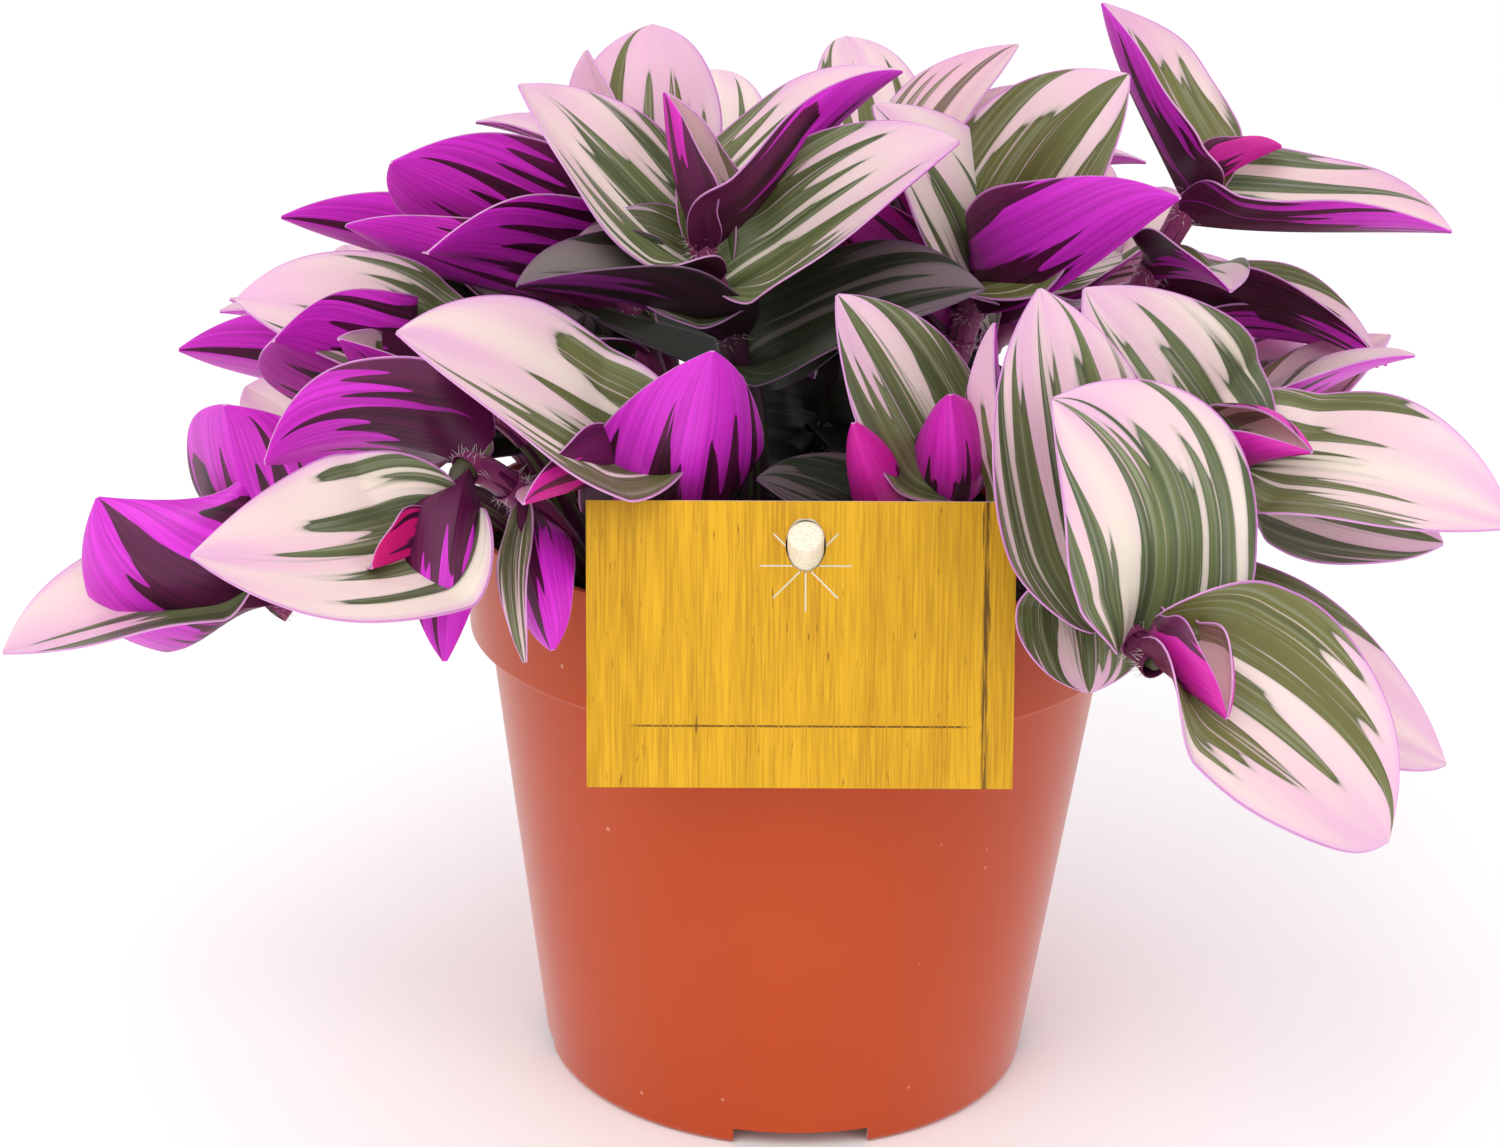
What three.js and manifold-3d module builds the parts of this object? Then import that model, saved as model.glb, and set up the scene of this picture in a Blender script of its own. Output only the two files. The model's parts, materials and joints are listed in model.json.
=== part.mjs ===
// A potted tradescantia: leafy stems spill on every side out of a round plastic nursery pot,
// and a plain card hangs on the end of a wooden stick in front of them.
// Millimetres, +Z up. The pot's axis is Z, it stands on z = 0, and the front is towards -Y.
import * as THREE from 'three';
import { mergeVertices } from 'three/addons/utils/BufferGeometryUtils.js';
import Module from 'manifold-3d';

const wasm = await Module();
wasm.setup();

// ---------------------------------------------------------------- driving dimensions
const CLEARANCE = 0.3; // between any two pieces that rest against each other

const POT = {
  height: 104.8,
  rimRadius: 60, // 12 cm pot, measured over the rim
  bandBottom: 83.5, // the rim band is this high above the table at its lower edge
  bandRadius: 59.6,
  bodyRadius: 56.1, // just under the band
  baseRadius: 45.5,
  wall: 1.2,
  floorRise: 4.2, // underside of the floor over the table
  padRadius: 7, // the middle of the floor comes down to the table
  footRing: [2.4, 1.8], // how far in from the foot its inner side starts above and ends below
  edge: 0.6, // small chamfers at the rim and the foot
  lip: 0.2, // how far the top of the rim is drawn in
  sides: 40,
};
const FOOT_NOTCH = { count: 4, width: 24, depth: 12, height: 3.4, turn: 3.7 };
const DRAIN = { count: 8, radius: 3.5, circle: 31, depth: 8, sides: 12 };

// The soil is heaped: slope lists shares of its radius and how far it has risen there.
const SOIL = { rimLevel: 94.5, slope: [[0.8, 1.6], [0.45, 2.9]], crown: 98, sides: 24 };

const CARD = {
  width: 68,
  height: 46,
  thickness: 0.5,
  centre: [-0.4, -61.8, 101.4],
  lean: 12, // degrees back from upright
  roll: 1.2, // degrees
};
const STICK = {
  radius: 2.9,
  from: [1.5, -24, 71],
  through: [0, -58.5, 117], // where its axis meets the card
  past: 3, // how far it pokes out of the card
  edge: 0.5,
  sides: 14,
};
const SLITS = { count: 8, length: 7.3, width: 0.4, depth: 2, above: -3.2 };

const BLADE = {
  thickness: 0.8,
  rows: [0, 0.1, 0.38, 0.72, 1],
  columns: [-1, 0, 1],
  rolledColumns: [-1, -0.5, 0, 0.5, 1],
  rolledFrom: 65, // a blade with a margin tilted more than this, in degrees, is rolled
  rootShare: 0.3, // half width of a blade's root inside its stem, as a share of the stem's radius
  baseVee: 20, // degrees: how a blade clasps its stem
  baseCup: 34,
  clasp: 0.28, // share of the length that the clasping part takes
  lastTurn: 0.995, // just short of the tip, where the midrib still has a direction
};
// A blade's outline is a pointed oval with a neck: sqrt(t + blunt) * (1 - t) ** taper.
const OUTLINE = { blunt: 0.03, taper: 0.75, neck: 0.15, neckWidens: 2.8 };
const STEM = {
  sides: 5,
  steps: 4,
  foot: 90, // the heights in the tables below start here, inside the soil
  sunk: 77,
  taper: 0.3,
  tipLength: 3,
  tipShare: 0.35,
  upright: [0, 1, 0.1], // the first corner of each ring lies square to this and to the stem
  simplify: [0.28, 0.22, 0.16, 0.1, 0.06, 0.03], // the first that keeps every corner apart
};
const NO_ROOM = { extraThickness: 0, extraEdge: 0 };
const CLEAR_BLADE = { extraThickness: 0.7, extraEdge: 0.4 };
const UNDER_POT = 1; // how far the room that blades leave free reaches below the pot

const FINISH = {
  pot: { color: 0xcd5537, roughness: 0.45 },
  soil: { color: 0x1d1613, roughness: 0.95 },
  stick: { color: 0xe6d9bd, roughness: 0.7 },
  card: { color: 0xe0ab1c, roughness: 0.5 },
  leaf: { color: 0xb79bb4, roughness: 0.5 },
};

// ---------------------------------------------------------------- the plant, stem by stem
// A blade leaves its stem at a share of the stem's length and ends at its tip. face is where the
// upper side looks, arch how far the midrib bows towards the upper side at one third and two
// thirds, cup the tilt in degrees at the midrib and at the left and right margins, and sway how
// far the midrib swings sideways.
function blade(at, tip, face, width, arch, cup, sway = [0, 0]) {
  return { at, tip, face, width, arch, cup, sway };
}

const SHOOTS = [
  {
    name: 'shoot_front_left',
    radius: 2.6,
    stem: [[-30, -28, 90], [-42, -41, 114], [-54, -50, 126], [-56, -56, 116]],
    blades: [
      blade(0.62, [-86, -54, 127], [0, 0.8, 0.6], 32, [6, 8], [14, 30, 30]),
      blade(0.66, [-55, -77, 103], [-0.2, 0.8, -0.7], 17, [-12, -7], [25, 40, 60], [-2, -2]),
      blade(0.45, [-39, -71, 103], [0.3, 0.8, -0.6], 16, [-4, -3], [30, 60, 60]),
      blade(0.4, [-43, -74, 102], [-0.2, -0.9, 0.3], 6, [6, 8], [20, 40, 40]),
      blade(0.97, [-91, -86, 122], [0, -0.6, 0.8], 36, [0, 0], [10, 24, 24], [-6, -7]),
      blade(1, [-66, -76, 117.5], [0.1, 0.95, 0.1], 13, [0, 0], [30, 50, 50]),
    ],
  },
  {
    name: 'shoot_far_left',
    radius: 2.6,
    stem: [[-36, -12, 90], [-58, -20, 112], [-76, -28, 111], [-87, -37, 98]],
    blades: [
      blade(0.55, [-98, -8, 127], [-0.3, -0.5, 0.8], 20, [5, 5], [14, 30, 30]),
      blade(0.9, [-93, -49, 135], [0.25, 0.95, 0], 34, [-3, 0], [20, 40, 40], [4, 2]),
      blade(0.93, [-132, -47, 91], [-0.15, -0.35, 0.93], 32, [3, 4], [12, 26, 26]),
      blade(1, [-115, -46, 118], [0.1, 0.95, 0.1], 46, [-10, -10], [10, 40, 45], [5, 6]),
    ],
  },
  {
    name: 'shoot_left_of_card',
    radius: 2.6,
    stem: [[-14, -26, 90], [-20, -33, 107], [-27, -42, 124]],
    blades: [
      blade(0.4, [-12, -48, 142], [-0.5, 0.8, 0.2], 24, [3, 3], [20, 40, 40]),
      blade(0.5, [-15.4, -58, 148], [-0.25, 0.9, -0.1], 36, [-9, -5], [12, 55, 30], [4, 2]),
      blade(0.95, [-62, -72, 153], [0.3, -0.6, 0.75], 34, [2, 3], [10, 36, 28]),
      blade(1, [-43, -75, 128], [-0.4, 0.7, 0.6], 18, [0, 0], [30, 60, 60]),
    ],
  },
  {
    name: 'shoot_left',
    radius: 2.4,
    stem: [[-36, 2, 90], [-48, -3, 116], [-64, -12, 132]],
    blades: [
      blade(0.7, [-109, -10, 134], [0, 0.85, 0.5], 26, [3, 3], [14, 30, 30]),
      blade(0.85, [-97, -18, 145], [-0.2, -0.55, 0.8], 30, [6, 8], [12, 28, 28]),
      blade(0.95, [-87, -38, 143], [0.1, 0.95, 0.1], 30, [-2, 4], [14, 34, 34], [4, 3]),
      blade(0.9, [-76, -40, 144], [0.6, 0.8, 0.1], 22, [-9, -6], [30, 60, 80]),
    ],
  },
  {
    name: 'shoot_upper_left',
    radius: 2.5,
    stem: [[-18, 14, 90], [-25, 12, 120], [-34, 6, 146]],
    blades: [
      blade(0.7, [-76, 26, 158], [-0.2, -0.6, 0.75], 28, [5, 5], [12, 30, 30]),
      blade(0.75, [-93, 4, 155], [0.1, 0.8, 0.6], 26, [5, 5], [14, 30, 30]),
      blade(0.85, [-79, -12, 157], [0.1, 0.75, 0.6], 22, [-3, 0], [14, 30, 30]),
      blade(0.95, [-63, -28, 156], [0.15, 0.85, 0.45], 30, [2, 4], [14, 34, 34]),
      blade(1, [-71, -12, 168], [0.15, 0.92, 0.3], 34, [2, 4], [12, 28, 28], [3, 3]),
    ],
  },
  {
    name: 'shoot_top_centre',
    radius: 2.7,
    stem: [[-8, -4, 90], [-9, -9, 124], [-18, -11, 154]],
    blades: [
      blade(0.72, [-47, -42, 154], [0.25, -0.1, 1], 28, [3, 3], [30, 65, 50]),
      blade(0.62, [28, -36, 154], [-0.3, -0.5, 0.8], 30, [4, 5], [14, 34, 34]),
      blade(0.8, [-40, -16, 156], [0, -0.6, 0.8], 26, [3, 3], [14, 34, 34]),
      blade(0.86, [23, -32, 177], [-0.5, -0.55, 0.65], 33, [-2, 2], [14, 28, 45]),
      blade(0.9, [-49, -16, 182], [0.6, -0.5, 0.6], 32, [-4, -2], [14, 34, 34]),
      blade(0.97, [15, -2, 184], [-0.6, -0.25, 0.72], 32, [0, 3], [30, 40, 70]),
      blade(1, [-25, -13, 181], [0.8, -0.4, 0.3], 21, [-3, -2], [40, 90, 90]),
    ],
  },
  {
    name: 'shoot_top_behind',
    radius: 2.5,
    stem: [[-12, 20, 90], [-20, 22, 130], [-28, 14, 158]],
    blades: [
      blade(0.95, [-29, 30, 187], [-0.2, -0.8, 0.5], 30, [4, 4], [12, 30, 30]),
      blade(1, [-40, 15, 184], [-0.6, -0.7, 0.3], 18, [2, 2], [30, 50, 50]),
    ],
  },
  {
    name: 'shoot_top_right',
    radius: 2.7,
    stem: [[16, 4, 90], [24, 1, 122], [30, -3, 148]],
    blades: [
      blade(0.75, [0, -14, 163], [0, 0.8, 0.5], 22, [3, 3], [14, 34, 34]),
      blade(0.85, [12, 4, 170], [0.3, 0.8, 0.5], 20, [3, 3], [14, 34, 34]),
      blade(0.9, [58, -38, 170], [-0.1, 0.5, 0.85], 40, [-8, -2], [30, 75, 75]),
      blade(0.95, [10, -8, 179], [0.4, -0.7, 0.6], 26, [6, 6], [12, 30, 30]),
      blade(1, [52, -14, 186], [-0.5, -0.75, 0.35], 34, [2, 8], [12, 26, 26]),
    ],
  },
  {
    name: 'shoot_upper_right',
    radius: 2.6,
    stem: [[38, 12, 90], [54, 12, 130], [68, 8, 162]],
    blades: [
      blade(0.75, [72, -14, 150], [0, 0.6, 0.7], 22, [2, 2], [20, 40, 40]),
      blade(0.93, [110, -8, 160], [0, -0.25, 1], 30, [-2, 0], [30, 60, 60]),
      blade(0.97, [50, 10, 195], [0.8, -0.4, 0.4], 32, [0, -3], [30, 55, 55]),
      blade(1, [82, 4, 172], [-0.3, 0.5, 0.8], 12, [1, 1], [45, 80, 80]),
    ],
  },
  {
    name: 'shoot_right_behind',
    radius: 2.4,
    stem: [[42, 26, 90], [56, 28, 118], [64, 28, 137]],
    blades: [
      blade(0.8, [110, 26, 128], [0, 0.2, 1], 26, [5, 5], [14, 34, 34]),
      blade(1, [105, 12, 131], [0, 0.1, 1], 28, [5, 5], [28, 55, 55]),
    ],
  },
  {
    name: 'shoot_right',
    radius: 2.6,
    stem: [[38, -16, 90], [56, -32, 118], [68, -46, 128]],
    blades: [
      blade(0.85, [104, -46, 116], [0, -0.6, 0.8], 29, [-2, -2], [14, 30, 30]),
      blade(0.95, [42, -52, 158], [0.3, -0.8, 0.5], 34, [3, 5], [10, 26, 26], [-3, -3]),
      blade(0.97, [108, -68, 126], [0.1, -0.55, 0.8], 32, [4, 6], [10, 26, 26]),
      blade(1, [77, -64, 136], [-0.4, -0.4, 0.8], 27, [0, 2], [10, 150, 120]),
    ],
  },
  {
    name: 'shoot_front_right',
    radius: 2.7,
    stem: [[27, -31, 90], [36, -46, 112], [45, -62, 111], [52, -77, 107]],
    blades: [
      blade(0.4, [28, -56, 153], [-0.9, -0.3, 0.1], 16, [2, 2], [20, 40, 40]),
      blade(0.6, [45, -68, 97], [0, -0.9, 0.4], 24, [2, 2], [14, 34, 34]),
      blade(0.8, [34, -62, 160], [0.1, -0.9, 0.35], 31, [0, 1], [14, 30, 18], [-2, -1]),
      blade(0.7, [106, -55, 81], [0.4, -0.5, 0.75], 36, [0, 3], [12, 30, 30]),
      blade(0.9, [35, -78, 147], [0.36, -0.84, 0.4], 39, [6, 4], [10, 26, 15], [8, 8]),
      blade(1, [90, -84, 80], [0.4, -0.7, 0.6], 39, [8, 5], [12, 28, 28]),
      blade(1, [62, -92, 103], [0.5, -0.4, 0.8], 25, [0, 0], [10, 140, 120]),
    ],
  },
  {
    name: 'shoot_behind_card',
    radius: 2.4,
    stem: [[12, -28, 90], [18, -34, 106], [25, -38, 121]],
    blades: [
      blade(0.5, [-8, -46, 124], [0, -0.5, 0.85], 22, [3, 3], [14, 34, 34]),
      blade(0.5, [7, -54, 136], [0, 0.9, 0.2], 24, [-9, -5], [20, 110, 110]),
      blade(0.95, [4, -43, 154], [0.3, -0.8, 0.45], 25, [1, 3], [12, 28, 28]),
      blade(0.8, [22, -54, 141], [0, 1, 0.1], 24, [-8, -4], [20, 90, 90], [-3, -2]),
    ],
  },
  {
    name: 'shoot_inner_right',
    radius: 2.4,
    stem: [[2, 20, 90], [4, 22, 116], [6, 19, 140]],
    blades: [
      blade(0.35, [-22, 0, 116], [0, -0.7, 0.7], 30, [4, 4], [14, 30, 30]),
      blade(0.45, [44, 10, 122], [0, -0.7, 0.7], 28, [4, 4], [14, 30, 30]),
      blade(0.75, [-45, 8, 143], [0, -0.7, 0.7], 34, [4, 4], [14, 30, 30]),
      blade(0.9, [46, 18, 150], [0, -0.7, 0.7], 32, [4, 4], [14, 30, 30]),
      blade(1, [14, 4, 165], [0, -0.8, 0.5], 24, [3, 3], [14, 34, 34]),
    ],
  },
  {
    name: 'shoot_inner_left',
    radius: 2.4,
    stem: [[-32, 18, 90], [-42, 20, 112], [-50, 20, 128]],
    blades: [
      blade(0.5, [-25, 36, 118], [0.1, -0.8, 0.6], 24, [3, 3], [14, 30, 30]),
      blade(0.6, [-84, 12, 112], [-0.1, -0.7, 0.7], 26, [4, 4], [14, 30, 30]),
      blade(0.85, [-39, 1, 140], [0.4, -0.8, 0.3], 30, [4, 4], [14, 30, 30]),
      blade(1, [-82, 6, 134], [-0.2, -0.7, 0.7], 26, [4, 4], [14, 30, 30]),
    ],
  },
];

// The stems at the back grow by one rule: azimuth is in degrees round from +X, foot and reach are
// distances from the pot's axis, and the stem rises to its height and ends a little lower.
const BACK_SHOOTS = [
  { name: 'shoot_back_right_low', azimuth: 3, foot: 46, reach: 80, height: 112, blades: 5 },
  { name: 'shoot_back_right', azimuth: 48, foot: 42, reach: 76, height: 128, blades: 5 },
  { name: 'shoot_back_middle', azimuth: 84, foot: 44, reach: 78, height: 114, blades: 5 },
  { name: 'shoot_back_left', azimuth: 122, foot: 42, reach: 76, height: 130, blades: 5 },
  { name: 'shoot_back_left_low', azimuth: 160, foot: 46, reach: 80, height: 112, blades: 5 },
  { name: 'shoot_back_upper_right', azimuth: 68, foot: 31, reach: 40, height: 146, blades: 6 },
  { name: 'shoot_back_upper_left', azimuth: 118, foot: 30, reach: 44, height: 142, blades: 5 },
];
const BACK_RULE = {
  seed: 31,
  radius: 2.5,
  firstBlade: 0.4,
  length: [56, 46], // blade length at the foot and at the tip of the stem
  widthShare: 0.53,
  spread: [66, 26], // degrees aside of the stem's own direction
  rise: [4, 48], // degrees
  jitter: 7, // degrees
  lengthJitter: 0.06,
  bends: [[0.25, 0.85], [0.65, 1]], // shares of the reach and of the rise at the two bends
  droop: 9,
  droopsPast: 60, // a stem that reaches less far stays upright
  lookIn: 0.4, // how far the blades face back towards their stem
  arch: [5, 7],
  cup: [13, 30, 30],
};

let draw = BACK_RULE.seed;
function random() {
  draw = (draw * 16807) % 2147483647;
  return draw / 2147483647;
}

function backShoot({ name, azimuth, foot, reach, height, blades }) {
  const { firstBlade, length, spread, rise, jitter, lengthJitter, bends, lookIn } = BACK_RULE;
  const out = THREE.MathUtils.degToRad(azimuth);
  const along = (r, z) => [Math.cos(out) * r, Math.sin(out) * r, z];
  const droop = reach > BACK_RULE.droopsPast ? BACK_RULE.droop : 0;
  const stem = [
    along(foot, STEM.foot),
    ...bends.map(([far, up]) => along(foot + (reach - foot) * far, STEM.foot + (height - STEM.foot) * up)),
    along(reach, height - droop),
  ];
  const curve = stemCurve(stem);
  const list = [];
  for (let k = 0; k < blades; k += 1) {
    const share = k / (blades - 1);
    const at = firstBlade + (1 - firstBlade) * share;
    const side = k % 2 === 0 ? 1 : -1;
    const mix = ([first, last]) => first + (last - first) * share;
    const swing = side * mix(spread) + jitter * (2 * random() - 1);
    const lift = THREE.MathUtils.degToRad(mix(rise) + jitter * (2 * random() - 1));
    const reached = mix(length) * (1 + lengthJitter * (2 * random() - 1));
    const heading = THREE.MathUtils.degToRad(azimuth + swing);
    const [x, y] = [Math.cos(heading), Math.sin(heading)];
    const flat = reached * Math.cos(lift);
    const base = curve.getPoint(at);
    const tip = [base.x + flat * x, base.y + flat * y, base.z + reached * Math.sin(lift)];
    const face = [-lookIn * x, -lookIn * y, 1];
    list.push(blade(at, tip, face, reached * BACK_RULE.widthShare, BACK_RULE.arch, BACK_RULE.cup));
  }
  return { name, radius: BACK_RULE.radius, stem, blades: list };
}

// ---------------------------------------------------------------- solids
function facesOf(geometry) {
  const bare = geometry.clone();
  bare.deleteAttribute('normal');
  bare.deleteAttribute('uv');
  const merged = mergeVertices(bare, 1e-4);
  const positions = merged.attributes.position.array;
  const index = merged.index.array;
  const triangles = [];
  for (let i = 0; i < index.length; i += 3) {
    const [a, b, c] = [index[i], index[i + 1], index[i + 2]];
    if (a !== b && b !== c && c !== a) triangles.push([a, b, c]);
  }
  return { positions, triangles };
}

function signedVolume(positions, triangles) {
  const corner = (i) => new THREE.Vector3().fromArray(positions, 3 * i);
  let sum = 0;
  for (const [a, b, c] of triangles) {
    sum += corner(a).dot(corner(b).cross(corner(c)));
  }
  return sum / 6;
}

function solidFrom(geometry) {
  const { positions, triangles } = facesOf(geometry);
  const inward = signedVolume(positions, triangles) < 0;
  const flat = triangles.flatMap(([a, b, c]) => (inward ? [a, c, b] : [a, b, c]));
  return new wasm.Manifold(new wasm.Mesh({
    numProp: 3,
    vertProperties: Float32Array.from(positions),
    triVerts: Uint32Array.from(flat),
  }));
}

function geometryFrom(solid) {
  const mesh = solid.getMesh();
  const geometry = new THREE.BufferGeometry();
  geometry.setAttribute('position', new THREE.BufferAttribute(Float32Array.from(mesh.vertProperties), 3));
  geometry.setIndex(new THREE.BufferAttribute(Uint32Array.from(mesh.triVerts), 1));
  return geometry;
}

// Keeps the largest body and drops loose scraps.
function mainBody(solid) {
  const bodies = solid.decompose();
  return bodies.reduce((best, body) => (body.volume() > best.volume() ? body : best));
}

function hasTwinCorners(solid) {
  const { vertProperties } = solid.getMesh();
  const corners = new Set();
  for (let i = 0; i < vertProperties.length; i += 3) {
    corners.add(Array.from(vertProperties.slice(i, i + 3), (v) => v.toFixed(3)).join());
  }
  return corners.size < vertProperties.length / 3;
}

// Drops needless corners, but never so many that two parts of the surface come to touch.
function simplified(solid, tolerances) {
  const tries = tolerances.map((tolerance) => mainBody(solid.simplify(tolerance)));
  return tries.find((body) => !hasTwinCorners(body)) ?? mainBody(solid);
}

// A closed surface through rings of points, all of the same count, with its two ends filled.
function loft(rings) {
  const count = rings[0].length;
  const points = [];
  const index = [];
  for (const ring of rings) for (const p of ring) points.push(p.x, p.y, p.z);
  for (let i = 0; i + 1 < rings.length; i += 1) {
    for (let j = 0; j < count; j += 1) {
      const a = i * count + j;
      const b = i * count + ((j + 1) % count);
      index.push(a, b, b + count, a, b + count, a + count);
    }
  }
  for (const [first, flip] of [[0, true], [(rings.length - 1) * count, false]]) {
    for (let j = 1; j + 1 < count; j += 1) {
      const fan = [first, first + j, first + j + 1];
      index.push(...(flip ? fan.reverse() : fan));
    }
  }
  const geometry = new THREE.BufferGeometry();
  geometry.setAttribute('position', new THREE.Float32BufferAttribute(points, 3));
  geometry.setIndex(index);
  return geometry;
}

function turned(profile, sides) {
  const points = profile.map(([radius, height]) => new THREE.Vector2(radius, height));
  return solidFrom(new THREE.LatheGeometry(points, sides).rotateX(Math.PI / 2));
}

function block(width, depth, height, place) {
  return solidFrom(new THREE.BoxGeometry(width, depth, height).applyMatrix4(place));
}

// ---------------------------------------------------------------- pot and soil
// The inside of the pot, drawn in by an inset: the corner of its floor, and the two edges of the
// sloping ledge behind the rim band.
function innerWall(inset) {
  const { wall, floorRise, bandBottom, baseRadius, bodyRadius, bandRadius } = POT;
  const floorTop = floorRise + wall;
  const outside = baseRadius + ((bodyRadius - baseRadius) * floorTop) / bandBottom;
  return [
    [outside - wall - inset, floorTop + inset],
    [bodyRadius - wall - inset, bandBottom + inset / 2],
    [bandRadius - wall - inset, bandBottom + wall + inset],
  ];
}

function pot() {
  const { height, rimRadius, bandBottom, bandRadius, bodyRadius, baseRadius } = POT;
  const { wall, floorRise, padRadius, footRing, edge, lip, sides } = POT;
  const [floorCorner, ledgeInner, ledgeOuter] = innerWall(0);
  const body = turned([
    [0, 0],
    [padRadius, 0],
    [padRadius + edge, floorRise],
    [baseRadius - footRing[0], floorRise],
    [baseRadius - footRing[1], 0],
    [baseRadius - edge, 0],
    [baseRadius, edge],
    [bodyRadius, bandBottom],
    [bandRadius - edge, bandBottom],
    [bandRadius, bandBottom + edge],
    [rimRadius, height - edge],
    [rimRadius - lip, height],
    [rimRadius - wall, height],
    ledgeOuter,
    ledgeInner,
    floorCorner,
    [0, floorRise + wall],
  ], sides);
  const cuts = [];
  for (let k = 0; k < FOOT_NOTCH.count; k += 1) {
    const turn = (360 / FOOT_NOTCH.count) * k + FOOT_NOTCH.turn;
    const place = new THREE.Matrix4().makeRotationZ(THREE.MathUtils.degToRad(turn));
    place.multiply(new THREE.Matrix4().makeTranslation(0, -baseRadius, 0));
    cuts.push(block(FOOT_NOTCH.width, FOOT_NOTCH.depth, 2 * FOOT_NOTCH.height, place));
  }
  for (let k = 0; k < DRAIN.count; k += 1) {
    const turn = ((k + 0.5) / DRAIN.count) * 2 * Math.PI;
    const hole = new THREE.CylinderGeometry(DRAIN.radius, DRAIN.radius, DRAIN.depth, DRAIN.sides);
    hole.rotateX(Math.PI / 2);
    hole.translate(DRAIN.circle * Math.cos(turn), DRAIN.circle * Math.sin(turn), floorRise);
    cuts.push(solidFrom(hole));
  }
  return body.subtract(wasm.Manifold.union(cuts));
}

function soil(holes) {
  const [floorCorner, ledgeInner, ledgeOuter] = innerWall(CLEARANCE);
  const bulk = turned([
    [0, floorCorner[1]],
    floorCorner,
    ledgeInner,
    ledgeOuter,
    [ledgeOuter[0], SOIL.rimLevel],
    ...SOIL.slope.map(([share, rise]) => [ledgeOuter[0] * share, SOIL.rimLevel + rise]),
    [0, SOIL.crown],
  ], SOIL.sides);
  return bulk.subtract(holes);
}

// ---------------------------------------------------------------- stick and card
function stickAxis() {
  const from = new THREE.Vector3(...STICK.from);
  const through = new THREE.Vector3(...STICK.through);
  const axis = through.clone().sub(from).normalize();
  return { from, axis, length: through.distanceTo(from) + STICK.past };
}

function stick(grow = 0) {
  const { from, axis, length } = stickAxis();
  const radius = STICK.radius + grow;
  const profile = [
    [0, -grow],
    [radius - STICK.edge, -grow],
    [radius, STICK.edge - grow],
    [radius, length - STICK.edge + grow],
    [radius - STICK.edge, length + grow],
    [0, length + grow],
  ].map(([r, z]) => new THREE.Vector2(r, z));
  const turn = new THREE.Quaternion().setFromUnitVectors(new THREE.Vector3(0, 1, 0), axis);
  const geometry = new THREE.LatheGeometry(profile, STICK.sides).applyQuaternion(turn);
  return solidFrom(geometry.translate(from.x, from.y, from.z));
}

function cardPlace() {
  const lean = THREE.MathUtils.degToRad(-CARD.lean);
  const roll = THREE.MathUtils.degToRad(-CARD.roll);
  const place = new THREE.Matrix4().makeTranslation(...CARD.centre);
  place.multiply(new THREE.Matrix4().makeRotationX(lean));
  return place.multiply(new THREE.Matrix4().makeRotationY(roll));
}

function card(grow = 0) {
  const { width, height, thickness } = CARD;
  const sheet = block(width + 2 * grow, thickness + 2 * grow, height + 2 * grow, cardPlace());
  if (grow > 0) return sheet;
  const hole = new THREE.Vector3(...STICK.through).applyMatrix4(cardPlace().invert());
  const slits = [];
  for (let k = 0; k < SLITS.count; k += 1) {
    const centre = new THREE.Matrix4().makeTranslation(hole.x, 0, hole.z + SLITS.above);
    const place = cardPlace().multiply(centre);
    place.multiply(new THREE.Matrix4().makeRotationY((k / SLITS.count) * 2 * Math.PI));
    place.multiply(new THREE.Matrix4().makeTranslation(SLITS.length / 2, 0, 0));
    slits.push(block(SLITS.length, SLITS.depth, SLITS.width, place));
  }
  return mainBody(sheet.subtract(wasm.Manifold.union([stick(CLEARANCE), ...slits])));
}

// ---------------------------------------------------------------- stems and blades
function stemCurve(stem) {
  const [x, y] = stem[0];
  const sunk = new THREE.Vector3(x, y, STEM.sunk);
  const points = stem.map((p) => new THREE.Vector3(...p));
  const above = new THREE.CatmullRomCurve3(points, false, 'catmullrom', 0.5);
  return { sunk, getPoint: (u) => above.getPoint(u), getTangent: (u) => above.getTangent(u) };
}

function stemSolid({ stem, radius }, grow = 0) {
  const curve = stemCurve(stem);
  const rings = [];
  const ring = (centre, direction, size) => {
    const side = new THREE.Vector3(...STEM.upright).cross(direction).normalize();
    const up = direction.clone().cross(side);
    const points = [];
    for (let k = 0; k < STEM.sides; k += 1) {
      const turn = (k / STEM.sides) * 2 * Math.PI;
      const p = centre.clone().addScaledVector(side, size * Math.cos(turn));
      points.push(p.addScaledVector(up, size * Math.sin(turn)));
    }
    rings.push(points);
  };
  const straight = new THREE.Vector3(0, 0, 1);
  ring(curve.sunk.clone().addScaledVector(straight, -grow), straight, radius + grow);
  for (let k = 0; k <= STEM.steps; k += 1) {
    const u = k / STEM.steps;
    const taper = 1 - STEM.taper * u;
    ring(curve.getPoint(u), curve.getTangent(u), radius * taper + grow);
  }
  const end = curve.getTangent(1);
  const point = curve.getPoint(1).addScaledVector(end, STEM.tipLength + grow);
  ring(point, end, radius * STEM.tipShare + grow);
  return solidFrom(loft(rings));
}

// Half the width of a blade at share t of its length, as a share of its widest half: a pointed
// oval, drawn in towards the stem.
function outline(t) {
  const { blunt, taper, neck, neckWidens } = OUTLINE;
  const oval = (share) => Math.sqrt(share + blunt) * (1 - share) ** taper;
  const widestAt = (0.5 - taper * blunt) / (0.5 + taper);
  return (oval(t) / oval(widestAt)) * Math.min(1, neck + neckWidens * t);
}

function smoothstep(low, high, value) {
  const x = THREE.MathUtils.clamp((value - low) / (high - low), 0, 1);
  return x * x * (3 - 2 * x);
}

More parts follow.
